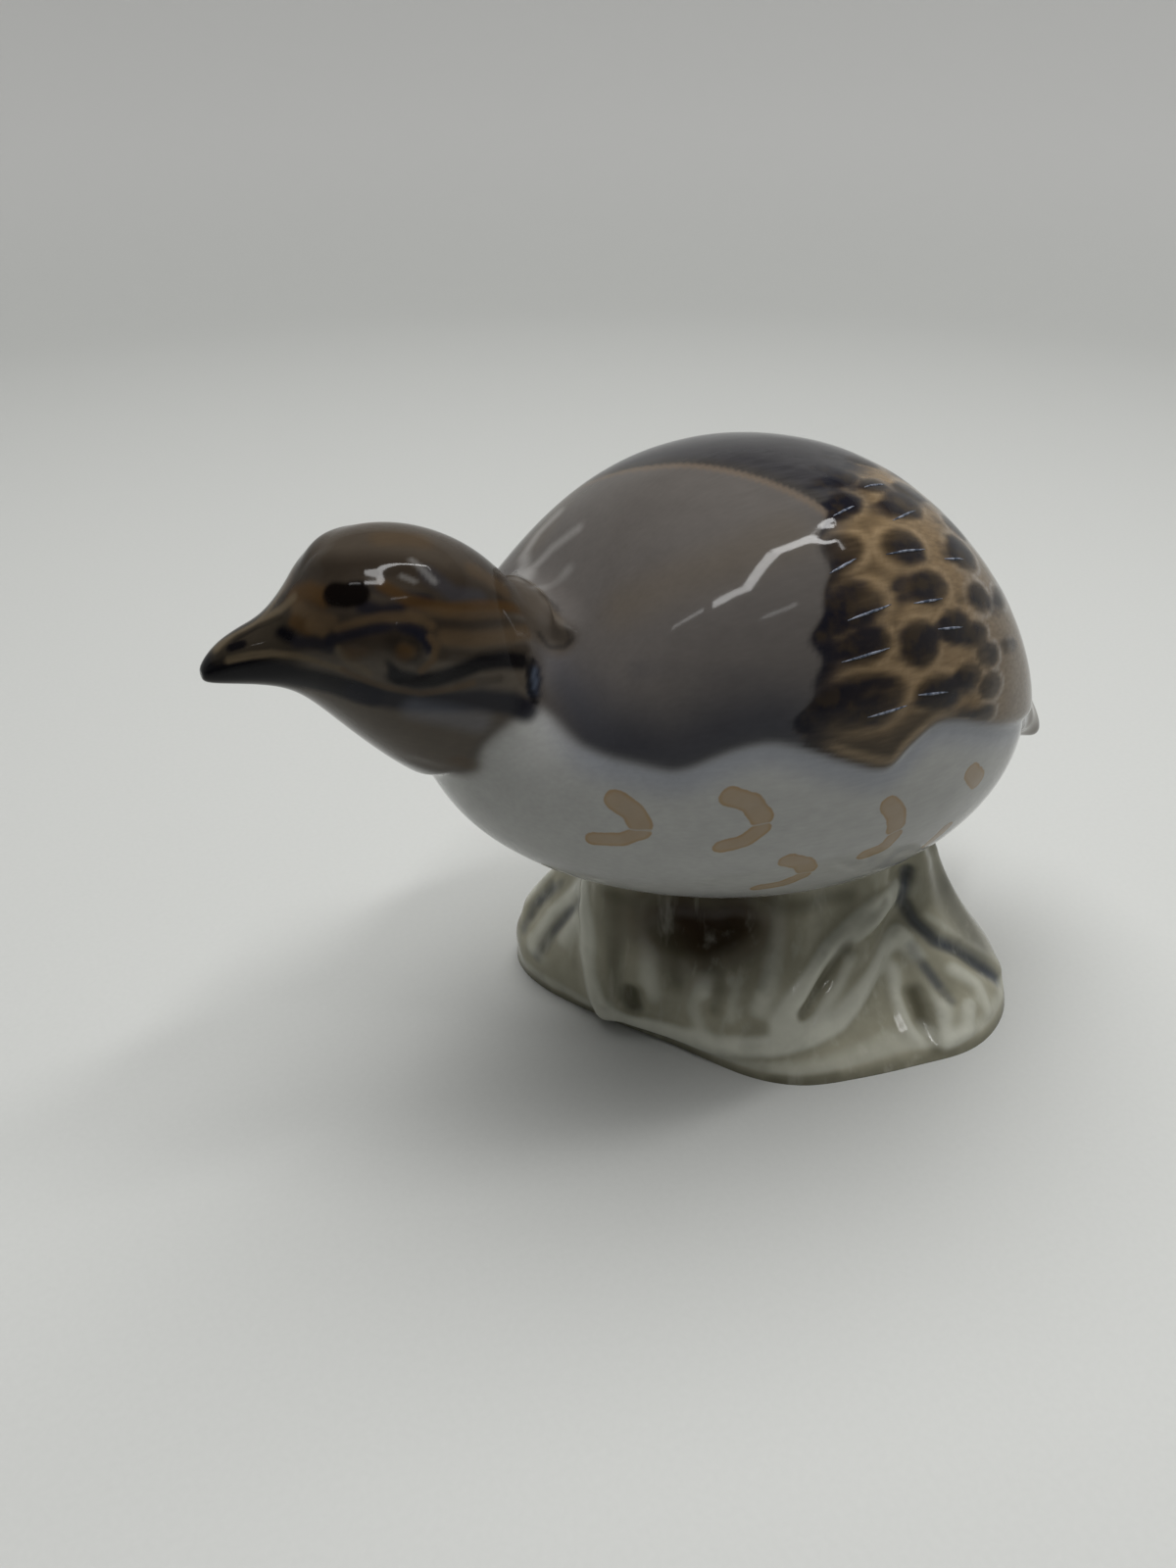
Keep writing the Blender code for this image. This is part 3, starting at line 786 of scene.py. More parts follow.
@dataclass(frozen=True)
class BirdPaint:
    """The underglaze painting: sprayed grounds, soft strokes and brushed marks."""

    bird: Bird

    # Soft strokes on the head and neck, in the order they are sprayed; some paint shade and dark reflections
    # round the brow and in the dimple
    head_strokes: tuple[Stroke, ...] = (
        Stroke(((-53.3, 3.9, 107.4), (-50.5, 4.2, 107.0), (-47.7, 4.5, 106.3)), 3.0, Tone.FAWN, 0.45),
        Stroke(((-41.1, 7.8, 101.7), (-38.7, 8.0, 99.8), (-36.3, 7.9, 97.8)), 2.6, Tone.FAWN, 0.50),
        # Painted shade and dark reflection: a dark band along the side of the crown, under the brow
        Stroke(((-65.0, 0.3, 102.7), (-60.7, 6.4, 104.8), (-56.9, 8.0, 105.2), (-51.7, 9.5, 104.3),
            (-47.4, 10.9, 102.0), (-41.7, 11.4, 98.8)), 4.6, Tone.CHEEK, 0.78, 0.9),
        Stroke(((-49.0, 10.1, 103.3), (-45.9, 11.9, 100.4), (-41.7, 11.4, 98.8)), 2.2, Tone.SLATE, 0.50),
        Stroke(((-50.7, 8.4, 105.0), (-49.4, 9.8, 103.7), (-48.4, 10.8, 102.4)), 0.9, Tone.STREAK, 0.30),
        Stroke(((-52.9, 10.1, 103.8), (-51.3, 10.8, 103.0)), 0.7, Tone.STREAK, 0.25),
        Stroke(((-65.4, 1.6, 102.1), (-67.2, 1.3, 100.5)), 2.6, Tone.CHEEK, 0.45),
        Stroke(((-66.6, 2.6, 100.8), (-65.1, 4.5, 101.8), (-63.7, 7.3, 101.6)), 2.4, Tone.OCHRE, 0.80),
        Stroke(((-66.9, 4.7, 99.7), (-65.6, 7.3, 99.2), (-63.7, 9.6, 98.8)), 1.9, Tone.FAWN, 0.70),
        Stroke(((-67.7, 5.5, 98.2), (-66.5, 7.5, 97.5)), 1.6, Tone.OCHRE, 0.60),
        Stroke(((-66.1, 7.7, 98.0), (-64.9, 9.2, 97.6)), 1.6, Tone.FAWN, 0.85),
        Stroke(((-59.3, 11.3, 101.0), (-57.0, 12.5, 100.0), (-54.2, 12.9, 100.1), (-50.2, 12.7, 100.4)),
            1.8, Tone.NAVY, 0.80),
        Stroke(((-56.8, 10.6, 102.9), (-54.6, 11.6, 101.9), (-51.0, 12.3, 101.0)), 1.3, Tone.NAVY, 0.50),
        # Painted dark reflection: a hard dark spot under the brow
        Stroke(((-62.3, 8.3, 102.2), (-61.0, 9.4, 102.2), (-59.5, 10.0, 102.5)), 2.3, Tone.SOOT, 0.98, 0.4),
        Stroke(((-56.0, 10.5, 103.2), (-53.0, 12.4, 101.0), (-47.6, 13.3, 99.0), (-42.1, 12.2, 98.0),
            (-35.9, 9.8, 95.5), (-32.6, 7.8, 93.3)), 1.5, Tone.OCHRE, 0.70),
        Stroke(((-53.0, 13.3, 99.5), (-49.7, 13.5, 99.0), (-44.7, 13.5, 97.5), (-39.0, 12.0, 96.0)),
            1.4, Tone.FAWN, 0.50),
        Stroke(((-50.1, 14.3, 97.5), (-45.1, 14.3, 96.2), (-39.4, 12.9, 94.9), (-33.8, 10.3, 92.4)),
            1.4, Tone.CHEEK, 0.65),
        Stroke(((-49.0, 15.0, 95.5), (-44.5, 15.0, 94.2), (-39.4, 13.8, 93.1), (-34.2, 11.2, 91.8)),
            2.0, Tone.FAWN, 0.70),
        Stroke(((-49.8, 15.7, 93.4), (-44.9, 15.8, 91.9), (-40.5, 15.0, 91.4), (-35.5, 13.3, 90.0)),
            1.7, Tone.CHEEK, 0.75),
        Stroke(((-56.6, 15.0, 91.2), (-54.0, 15.7, 90.1), (-51.2, 16.1, 89.9), (-47.8, 16.3, 90.3),
            (-44.0, 15.9, 90.8), (-40.1, 15.3, 90.2), (-36.6, 14.4, 88.8)), 2.0, Tone.INK, 0.95, 0.7),
        Stroke(((-47.9, 16.5, 88.2), (-45.4, 16.5, 88.3), (-41.1, 16.1, 87.7)), 1.1, Tone.CHEEK, 0.50),
        Stroke(((-80.1, 1.2, 92.0), (-76.6, 4.2, 91.8), (-72.4, 5.7, 91.3), (-68.7, 7.1, 90.1),
            (-64.4, 10.3, 89.5), (-60.1, 13.2, 88.2)), 3.0, Tone.INK, 0.97, 0.6),
        Stroke(((-61.7, 12.2, 88.5), (-55.9, 14.9, 87.2), (-50.5, 16.2, 86.2), (-44.6, 16.7, 85.3),
            (-39.4, 16.6, 83.4), (-37.4, 16.9, 82.1)), 2.8, Tone.NAVY, 0.92, 0.7),
        Stroke(((-78.1, 1.8, 93.8), (-74.6, 3.2, 95.0), (-70.8, 5.1, 95.5)), 2.3, Tone.BEAK, 0.85),
        Stroke(((-77.2, 3.4, 93.2), (-74.1, 4.6, 93.8), (-71.6, 5.7, 94.0), (-68.4, 7.6, 93.7),
            (-65.0, 10.2, 92.8), (-63.2, 11.7, 92.2)), 0.85, Tone.HORN, 0.70),
        Stroke(((-63.2, 11.7, 92.2), (-60.1, 13.5, 90.5), (-56.8, 14.9, 89.1), (-53.2, 15.8, 88.0),
            (-49.4, 16.4, 88.0), (-45.4, 16.5, 88.2)), 0.85, Tone.FAWN, 0.62),
        Stroke(((-76.4, 2.5, 94.6), (-74.9, 3.0, 95.0)), 1.0, Tone.INK, 0.90, 0.6),
        Stroke(((-78.0, 0.8, 94.1), (-75.0, 0.1, 95.7), (-71.6, 0.3, 97.2), (-68.6, 2.1, 99.0),
            (-66.9, 2.8, 100.5)), 1.3, Tone.HORN, 0.70),
        Stroke(((-75.6, 1.9, 95.2), (-72.4, 1.9, 96.6), (-69.1, 3.5, 98.2)), 0.5, Tone.INK, 0.45),
        Stroke(((-69.6, 5.1, 96.7), (-68.9, 6.1, 96.3)), 1.7, Tone.INK, 0.95),
        Stroke(((-68.1, 7.2, 95.6), (-65.8, 9.2, 95.7), (-64.4, 10.5, 95.4)), 1.5, Tone.NAVY, 0.75),
        Stroke(((-62.8, 10.8, 98.0), (-59.8, 12.2, 99.0), (-57.2, 12.8, 99.4), (-53.1, 13.5, 99.1),
            (-50.6, 14.4, 97.4)), 1.3, Tone.FAWN, 0.70),
        Stroke(((-64.2, 10.3, 96.4), (-61.7, 11.8, 97.4), (-58.8, 13.0, 98.1), (-55.9, 14.5, 98.6),
            (-52.1, 14.5, 97.1), (-51.3, 15.2, 95.2)), 1.3, Tone.NAVY, 0.80),
        Stroke(((-63.3, 11.4, 95.1), (-62.3, 12.3, 93.3), (-60.0, 13.6, 91.7)), 1.1, Tone.HORN, 0.50),
        Stroke(((-62.2, 12.2, 94.7), (-60.1, 14.9, 95.3)), 1.7, Tone.OCHRE, 0.45),
        Stroke(((-53.7, 15.7, 94.4), (-52.9, 15.6, 92.7)), 1.8, Tone.CHEEK, 0.70),
        Stroke(((-56.5, 15.7, 96.5), (-54.8, 15.8, 94.2), (-53.7, 15.6, 95.4)), 2.6, Tone.SOOT, 0.60, 0.9),
        Stroke(((-55.3, 15.8, 95.5), (-54.2, 15.8, 94.7)), 1.5, Tone.FAWN, 0.60),
        Stroke(((-58.1, 15.1, 97.6), (-58.8, 15.4, 96.4), (-58.1, 15.7, 94.3), (-56.7, 15.2, 91.8),
            (-56.2, 15.1, 90.6)), 1.1, Tone.INK, 0.90, 0.7),
        Stroke(((-58.1, 15.1, 97.6), (-55.7, 15.1, 98.1), (-53.3, 15.1, 97.3), (-51.7, 15.0, 95.7),
            (-51.6, 15.4, 94.3)), 1.0, Tone.NAVY, 0.85, 0.7),
        Stroke(((-51.0, 14.9, 96.0), (-50.3, 15.4, 94.6), (-51.1, 15.8, 92.8), (-52.9, 15.7, 91.6)),
            0.9, Tone.FAWN, 0.80),
        Stroke(((-47.5, 13.6, 74.2), (-45.5, 13.8, 73.0)), 2.4, Tone.FAWN, 0.45),
        Stroke(((-54.2, 15.2, 85.4), (-49.6, 16.1, 83.6), (-44.7, 16.5, 81.5)), 3.2, Tone.SHADE, 0.22, 0.9),
        Stroke(((-30.6, 2.0, 94.1), (-31.2, 5.3, 93.4), (-30.7, 10.0, 91.6), (-29.4, 11.9, 90.0)),
            4.0, Tone.CROWN, 0.92, 0.7),
        Stroke(((-34.1, 7.1, 95.7), (-33.0, 9.1, 92.6), (-32.0, 10.4, 90.5)), 2.2, Tone.CROWN, 0.80),
        Stroke(((-27.7, 1.4, 94.3), (-28.6, 7.9, 93.9), (-28.5, 12.3, 91.8)), 1.1, Tone.HORN, 0.45),
        Stroke(((-27.6, 8.7, 93.3), (-28.4, 0.5, 94.5), (-28.2, 6.0, 94.1), (-28.3, 11.2, 92.7),
            (-27.8, 13.1, 90.1), (-28.8, 12.9, 88.8), (-31.0, 11.8, 88.9), (-32.0, 10.3, 90.7)),
            0.8, Tone.INK, 0.50),
        # Painted shade and dark reflection inside the dimple behind the head
        Stroke(((-34.8, 14.6, 86.9), (-35.7, 16.1, 84.4)), 1.4, Tone.DUSK, 0.85, 0.7),
        Stroke(((-34.6, 13.8, 88.3), (-35.8, 14.9, 86.9), (-36.2, 15.9, 84.8), (-35.8, 16.8, 83.1)),
            0.9, Tone.INK, 0.85, 0.7),
        Stroke(((-33.9, 13.9, 87.7), (-34.2, 15.3, 85.7), (-35.2, 16.6, 83.7)), 0.6, Tone.NAVY, 0.70, 0.7),
    )
    # Soft strokes over the back and wings
    back_strokes: tuple[Stroke, ...] = (
        Stroke(((-20.0, 16.0, 95.0), (-6.0, 22.0, 101.0), (4.0, 22.0, 103.0)), 7.0, Tone.HORN, 0.30, 1.0),
        Stroke(((-22.0, 24.0, 88.0), (-10.0, 31.0, 88.0), (0.0, 33.0, 88.0)), 3.0, Tone.SLATE, 0.35, 1.0),
    )
    # Pale streaks up the nape, on one side as well as the other: a painted sheen, the glaze's reflection of
    # pale light along the nape
    nape_streaks_and_sheen: tuple[Stroke, ...] = (
        Stroke(((-28.9, 4.3, 94.4), (-23.0, 14.4, 93.0), (-19.5, 15.9, 95.6), (-16.0, 15.4, 98.6)),
            2.4, Tone.STREAK, 0.50, 1.0),
        Stroke(((-30.4, 0.1, 94.3), (-24.5, 7.9, 93.0), (-21.1, 7.4, 96.2), (-17.6, 4.9, 99.8)),
            2.0, Tone.STREAK, 0.36, 1.0),
        Stroke(((-30.8, -2.1, 94.0), (-26.9, -0.9, 94.2), (-22.2, -0.7, 95.7)), 2.0, Tone.STREAK, 0.26, 1.0),
    )

    # Two fat strokes meet in each mark on the belly, a thin gap of glaze between them
    marks: tuple[tuple[Path, Path], ...] = (
        (((-28.2, 28.6, 69.8), (-25.8, 29.9, 67.6), (-24.6, 30.0, 64.9)), ((-24.4, 29.8, 63.4),
            (-26.9, 27.8, 61.7), (-30.2, 25.6, 61.6))),
        (((-12.3, 35.9, 69.9), (-9.1, 36.8, 68.4), (-6.9, 36.8, 65.1)), ((-6.6, 36.6, 62.9),
            (-8.9, 35.1, 60.4), (-12.1, 34.0, 59.6))),
        (((15.9, 39.3, 62.4), (18.2, 38.6, 59.6), (19.3, 37.7, 56.3)), ((19.9, 37.0, 54.0),
            (18.9, 35.8, 51.4), (15.4, 35.5, 50.5))),
        (((0.2, 35.0, 53.8), (3.2, 34.9, 52.2), (5.0, 33.8, 49.9)), ((5.0, 32.7, 47.9), (2.8, 30.5, 45.7),
            (-1.0, 29.2, 45.2))),
        (((34.6, 37.2, 62.4), (37.3, 36.1, 59.6)), ((34.0, 33.2, 49.6), (32.2, 31.4, 46.4))),
    )
    mark_half_width: float = 1.95
    lower_width: float = 0.85
    # Distances that stand for far from every patch, and far from every mark
    far_outside: float = 9.0
    far_away: float = 99.0

    # Where the head's painting ends, the bill's and the tail's start, along the bird
    neck: Span = (-38.0, -30.0)
    bill: Span = (66.5, 69.5)
    tail: Span = (64.5, 67.5)
    # Heights between which the band over the back, the cheek and the crown come in
    band_height: Span = (96.0, 101.0)
    cheek_height: Span = (92.0, 97.0)
    crown_height: Span = (100.5, 107.5)
    # How the field's colours come in behind its front edge
    field_front: Span = (-0.8, 1.8)
    # Middle of the iris, seen from the side
    iris: Span = (-55.2, 94.6)
    # The hollow between head and back, seen from the side, and how far dulled glaze spreads round it
    hollow: Span = (-31.0, 80.0)
    hollow_spread: Span = (3.4, 5.0)

    def layers(self, points: np.ndarray) -> dict[str, np.ndarray]:
        """All painted layers, by name.

        Args:
            points: The points.

        Returns:
            The values of each layer.
        """
        upper, lower = self.brush_marks(points)
        return {
            "wash": self.wash(points),
            "patch": self.patches(points),
            "mark_upper": upper,
            "mark_lower": lower,
            "barbs": self.barbs(points),
            "dulled": self.dulled(points),
        }

    def wash(self, points: np.ndarray) -> np.ndarray:
        """The soft underglaze colour at every point, sprayed layer over layer.

        Args:
            points: The points.

        Returns:
            One colour for each point.
        """
        ground = Ground(Tone.WHITE, len(points))
        coat = self.bird.coat(points)
        head = 1 - ease(points[:, 0], *self.neck)
        self.spray_back(ground, points, coat, 1 - head)
        self.spray_field(ground, points, coat)
        self.spray_head(ground, points, coat, head)
        ground.spray(Tone.HORN, ease(points[:, 0], *self.tail))
        return ground.colour

    def spray_back(self, ground: Ground, points: np.ndarray, coat: np.ndarray, body: np.ndarray) -> None:
        """Sprays the mantle, the cape and the band over the back, with painted shade below the wing's edge
        and a painted sheen up the nape.

        Args:
            ground: The colours, sprayed over.
            points: The points.
            coat: The distance inside the coloured coat.
            body: 1 on the body and 0 on the head.
        """
        half = mirrored(points)
        z = points[:, 2]
        # Painted shade: a blue-grey band just below the coat's edge, where the wing's lower edge stands over
        # the belly
        ground.spray(Tone.SHADE, 0.55 * (1 - ease(np.abs(coat + 1.5), 0.0, 5.5)) * body)
        ground.spray(Tone.MANTLE, ease(coat, -1.6, 1.6))
        ground.spray(Tone.CAPE, 0.7 * ease(coat, 14, 30) * body)
        ground.spray(Tone.SLATE, 0.85 * ease(coat, -1.0, 1.2) * (1 - ease(coat, 2, 13)))
        behind = self.bird.behind_cape(points)
        ground.spray(Tone.BAND, 0.95 * ease(behind, -0.4, 1.2) * ease(z, *self.band_height))
        ground.spray(Tone.SLATE, 0.5 * ease(behind, 0.5, 5.0) * ease(z, 98, 104))
        edge = reach(points * (1, 1, 0), tuple((b, a, 0.0) for a, b in reversed(self.bird.cape_edge)))
        ground.spray(Tone.ARC, 0.75 * (1 - ease(edge, 0.3, 1.1)) * ease(z, 100, 103))
        for stroke in self.back_strokes:
            ground.spray(stroke.tone, stroke.mask(half) * ease(coat, 4, 10))
        # Painted sheen: pale streaks up the nape
        for stroke in self.nape_streaks_and_sheen:
            ground.spray(stroke.tone, stroke.mask(points))

    def spray_field(self, ground: Ground, points: np.ndarray, coat: np.ndarray) -> None:
        """Sprays the field of scalloped feathers, paler and greyer towards the tail, with a painted sheen
        over the rump.

        Args:
            ground: The colours, sprayed over.
            points: The points.
            coat: The distance inside the coloured coat.
        """
        half = mirrored(points)
        x, z = points[:, 0], points[:, 2]
        scallops = self.bird.scallops(points)
        inside = ease(scallops, *self.field_front) * ease(coat, -0.2, 1.0)
        low = ease(coat, 30, 12)
        crest = ease(z, 100, 107)
        ground.spray(Tone.BUFF, inside * ease(scallops, -0.5 + 1.5 * crest, 2.6 + 7.0 * crest))
        web = np.full(len(points), -1.0)
        for feather in FEATHERS:
            web = np.maximum(web, feather.web(half))
        ground.spray(Tone.CHEEK, 0.55 * inside * (1 - ease(web, -0.30, -0.02)) * (1 - ease(x, 12, 26)))
        ground.spray(Tone.RIM, 0.30 * inside * np.exp(-(((web - 0.04) / 0.08) ** 2)))
        ground.spray(Tone.CHEEK, 0.80 * inside * ease(web, 0.08, 0.34))
        corner = inside * (1 - ease(coat, 1.0, 8.0)) * (1 - ease(x, 20, 32))
        ground.spray(Tone.BEAK, 0.85 * corner)
        ground.spray(Tone.RIM, 0.55 * corner * np.exp(-(((coat - 1.6) / 0.8) ** 2)))
        shore = ease(scallops, -0.8, 0.8) * (1 - ease(scallops, 1.6, 7.5)) * ease(coat, -0.5, 1.0)
        ground.spray(Tone.NAVY, (0.88 - 0.50 * (1 - low)) * shore)
        ground.spray(Tone.RUMP, 0.60 * inside * ease(x, 30, 46))
        rear = inside * ease(x, 30, 42)
        ground.spray(Tone.CHEEK, 0.45 * rear * ease(web, 0.12, 0.42))
        ground.spray(Tone.STREAK, 0.50 * rear * np.exp(-(((web - 0.05) / 0.09) ** 2)))
        # Painted sheen: pale grey over the rump towards the tail
        ground.spray(Tone.STREAK, 0.35 * inside * ease(x, 46, 62) * (1 - low))

    def spray_head(self, ground: Ground, points: np.ndarray, coat: np.ndarray, head: np.ndarray) -> None:
        """Sprays throat, cheek, crown and bill, then the head's strokes and the iris.

        Args:
            ground: The colours, sprayed over.
            points: The points.
            coat: The distance inside the coloured coat.
            head: 1 on the head and 0 on the body.
        """
        half = mirrored(points)
        x, y, z = half[:, 0], half[:, 1], half[:, 2]
        ground.spray(Tone.THROAT, ease(coat, -3.0, 2.0) * head)
        ground.spray(Tone.CHEEK, ease(z, *self.cheek_height) * head)
        ground.spray(Tone.CROWN, ease(z + 0.25 * y, *self.crown_height) * head)
        ground.spray(Tone.BEAK, ease(-x, *self.bill) * 0.95)
        for stroke in self.head_strokes:
            ground.spray(stroke.tone, stroke.mask(half))
        iris = np.hypot(x - self.iris[0], z - self.iris[1])
        ground.spray(Tone.OCHRE, 0.6 * (1 - ease(iris, 0.4, 1.9)) * (y > 8) * head)

    def patches(self, points: np.ndarray) -> np.ndarray:
        """The signed distance inside the dark patches of the scalloped feathers.

        Args:
            points: The points.

        Returns:
            One distance for each point.
        """
        half = mirrored(points)
        best = np.full(len(points), -self.far_outside)
        for feather in FEATHERS:
            best = np.maximum(best, feather.patch(half))
        return best

    def brush_marks(self, points: np.ndarray) -> tuple[np.ndarray, np.ndarray]:
        """The signed distances inside the upper and the lower strokes of the belly's marks.

        Args:
            points: The points.

        Returns:
            Both distances for each point.
        """
        half = mirrored(points)
        upper = np.full(len(points), self.far_away)
        lower = upper.copy()
        for first, second in self.marks:
            upper = np.minimum(upper, reach(half, first))
            lower = np.minimum(lower, reach(half, second))
        return self.mark_half_width - upper, self.mark_half_width * self.lower_width - lower

    def dulled(self, points: np.ndarray) -> np.ndarray:
        """Where handling has left the glaze less bright: in the hollow between head and back."""
        ahead = (points[:, 0] - self.hollow[0]) / self.hollow_spread[0]
        below = np.maximum(self.hollow[1] - points[:, 2], 0) / self.hollow_spread[1]
        return np.exp(-(np.hypot(ahead, below) ** 2))

    def barbs(self, points: np.ndarray) -> np.ndarray:
        """Where fine barbs are brushed: over the back band and the scalloped feathers.

        Args:
            points: The points.

        Returns:
            A share for each point.
        """
        coat = self.bird.coat(points)
        behind = ease(self.bird.behind_cape(points), 0.0, 2.0) * ease(points[:, 2], *self.band_height)
        inside = ease(self.bird.scallops(points), *self.field_front) * ease(coat, 0.0, 1.5)
        return np.maximum(behind, inside)


@dataclass
class Mound:
    """The folded mound that carries the bird, with its flat foot ring, recess and air hole."""

    length: float = 90.0
    width: float = 82.0
    behind: float = 17.5
    rim: float = 6.0
    hug: float = 11.0
    belly_clearance: float = 28.0
    foot_ring: float = 6.0
    recess: float = 1.5
    air_hole: float = 3.5
    hole_depths: Point = (5.0, 2.5, 0.4)
    bevel: float = 0.4
    ring_edge: float = 1.0
    # How far up its rings the surface is kept, counted in rings of corners
    kept: float = 5.7
    # How far the neck draws in towards the middle of the belly: on the hidden side, then at the rear
    draw_in: Span = (0.32, 0.10)
    neck_ahead: float = 13.0
    neck_height: Span = (30.0, 39.0)
    # Height of the small pleats on the hidden side, and how far they sway with each millimetre up
    pleat_height: float = 0.26
    pleat_sway: float = 0.018
    # How often the folds, and the directions that they stand out in, are smoothed
    softening: int = 8
    turn_softening: int = 6
    # Where the hidden side and the rear begin, across and along
    hidden_side: Span = (2.0, 12.0)
    rear: Span = (38.0, 50.0)
    rings: int = 170
    turns: int = 400

    # Foot, top of the rim, height of the rim there, waist and neck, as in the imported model: hundredths
    # of the mound's length and width, counted round from the left of the breast past its left side
    folds: tuple[tuple[Span, Span, float, Span, Span], ...] = (
        ((-52, 33), (-54, 32), 1.6, (-48, 30), (-37, 25)),
        ((-50, 17), (-52, 19), 1.0, (-42, 17), (-38, 16)),
        ((-44, 6), (-46, 2), 0.8, (-46, 2), (-44, 6)),
        ((-40, -2), (-42, -6), 0.8, (-40, -6), (-40, -2)),
        ((-33, -14), (-34, -15), 0.9, (-30, -9), (-31, -5)),
        ((-29, -23), (-29, -25), 1.0, (-28, -20), (-24, -11)),
        ((-24, -33), (-24, -32), 1.0, (-17, -15), (-16, -12)),
        ((-16, -41), (-16, -36), 1.1, (-12, -30), (-6, -20)),
        ((-6, -44), (-8, -36), 1.1, (-4, -21), (3, -17)),
        ((4, -47), (1, -33), 1.0, (5, -31), (13, -25)),
        ((13, -49), (12, -30), 1.0, (15, -19), (17, -19)),
        ((22, -49), (22, -42), 1.5, (22, -32), (22, -25)),
        ((32, -46), (31, -37), 1.2, (29, -26), (25, -20)),
        ((42, -37), (40, -33), 1.6, (35, -28), (29, -19)),
        ((48, -22), (46, -20), 1.2, (37, -15), (30, -10)),
        ((49, 4), (48, 4), 1.4, (40, 2), (30, 2)),
        ((46, 19), (43, 17), 1.0, (30, 11), (27, 9)),
        ((39, 32), (37, 31), 1.4, (32, 27), (21, 17)),
        ((28, 43), (25, 39), 1.0, (15, 24), (14, 21)),
        ((13, 50), (12, 47), 1.3, (9, 39), (4, 25)),
        ((-3, 51), (-4, 46), 1.0, (-5, 29), (-6, 25)),
        ((-20, 51), (-20, 48), 1.4, (-20, 40), (-17, 26)),
        ((-42, 43), (-43, 42), 1.5, (-37, 38), (-30, 25)),
    )
    # Path, half-width and height of each ridge, below zero for a groove
    carving: Carving = (
        (((-14.0, 8.6, 27.1), (-16.0, 4.2, 20.0), (-16.8, 1.0, 10.7), (-14.9, -1.1, 3.5)), 3.6, 1.1),
        (((-14.9, -1.1, 3.5), (-11.6, -5.8, 3.2), (-8.1, -10.7, 3.5), (-3.5, -18.1, 4.0), (1.5, -24.3, 5.7),
            (6.4, -27.6, 6.5), (12.5, -29.2, 7.5), (19.4, -28.4, 7.9), (25.3, -26.4, 10.1),
            (31.0, -23.5, 12.9), (36.8, -20.9, 16.8)), 3.3, 1.1),
        (((38.8, -18.5, 26.3), (32.6, -20.5, 25.3), (27.2, -20.7, 21.9), (21.8, -20.9, 18.2),
            (15.9, -23.2, 15.2), (11.6, -25.2, 12.4), (8.5, -26.2, 9.5)), 3.4, 1.4),
        (((38.0, -18.8, 23.6), (30.4, -21.4, 22.3), (26.9, -21.3, 20.4)), 2.4, 0.9),
        (((25.4, -22.6, 17.1), (21.7, -24.5, 13.0), (15.5, -27.2, 9.6), (11.2, -28.4, 8.2)), 2.5, 0.8),
        (((13.1, -14.9, 28.1), (12.0, -17.3, 22.1), (8.9, -20.7, 15.0), (6.0, -22.2, 11.3)), 3.3, 0.8),
        (((9.2, -12.6, 27.8), (7.8, -14.0, 22.2), (2.5, -14.2, 19.5), (-1.1, -16.3, 13.6)), 2.7, 0.8),
        (((-8.2, -4.2, 28.1), (-8.3, -5.8, 20.3), (-9.3, -8.0, 10.5)), 4.2, 0.7),
        (((-1.7, -14.2, 16.1), (-3.8, -15.2, 9.8), (-3.4, -17.7, 6.6)), 3.0, 0.6),
        (((3.7, -17.0, 15.2), (1.0, -20.3, 9.9)), 3.0, 0.6),
        (((38.5, -21.2, 17.5), (39.9, -25.1, 13.7), (40.8, -29.7, 9.7), (40.7, -33.4, 6.4),
            (38.0, -37.7, 1.7)), 2.8, 1.0),
        (((35.3, -23.8, 11.5), (34.0, -28.2, 7.1), (33.6, -33.0, 3.9), (35.4, -37.3, 1.5)), 2.5, 1.0),
        (((45.7, -34.5, 6.4), (43.7, -37.4, 3.3), (38.8, -38.5, 1.1)), 2.7, 0.9),
        (((45.1, -29.4, 11.9), (49.9, -31.7, 7.8), (50.2, -35.1, 4.0)), 2.8, 0.8),
        (((42.3, -22.5, 20.9), (47.1, -24.8, 16.9), (54.3, -27.0, 10.9), (60.3, -27.3, 4.9)), 2.5, 0.6),
        (((-21.4, 16.5, 8.5), (-17.5, 16.0, 15.7), (-13.9, 11.3, 23.9)), 2.8, 0.9),
        (((-18.6, 26.2, 13.4), (-15.0, 23.0, 19.9)), 3.4, 0.8),
        (((-18.1, 11.2, 13.0), (-15.6, 9.7, 19.2), (-14.9, 7.4, 23.3)), 2.2, 0.7),
        (((40.3, -18.7, 29.5), (39.3, -19.3, 23.7), (40.9, -22.0, 19.6), (43.6, -25.5, 16.6),
            (48.9, -26.9, 13.3), (53.5, -29.0, 9.1), (58.3, -29.9, 4.4)), 2.2, -1.1),
        (((40.4, -26.5, 12.5), (41.3, -29.4, 10.3), (42.4, -32.1, 8.4)), 2.0, -0.9),
        (((37.1, -28.4, 8.2), (36.5, -32.2, 5.2), (36.5, -37.1, 1.9)), 2.2, -1.0),
        (((-20.3, 21.7, 12.8), (-16.1, 20.6, 19.2)), 2.3, -0.9),
        (((-20.5, 14.7, 9.5), (-17.2, 13.8, 15.5), (-14.7, 8.5, 23.5)), 2.0, -0.9),
        (((-2.8, -7.9, 26.0), (0.6, -11.0, 25.0), (5.2, -12.1, 25.1)), 8.5, -2.2),
        (((-11.8, -5.9, 9.9), (-11.9, -6.2, 7.2)), 2.8, -1.3),
        (((-15.2, -1.6, 4.9),), 1.5, -0.7),
        (((33.7, -20.2, 25.7), (26.0, -21.3, 19.9), (19.8, -23.0, 14.5), (12.3, -26.3, 11.1)), 2.2, -0.8),
        (((-13.3, -0.8, 28.1), (-14.4, -3.4, 9.0)), 3.8, -0.5),
        (((-4.5, -8.0, 21.4), (-5.0, -10.8, 13.9)), 3.0, -0.6),
        (((1.2, -15.0, 17.6), (-1.1, -18.0, 11.0)), 2.4, -0.5),
    )
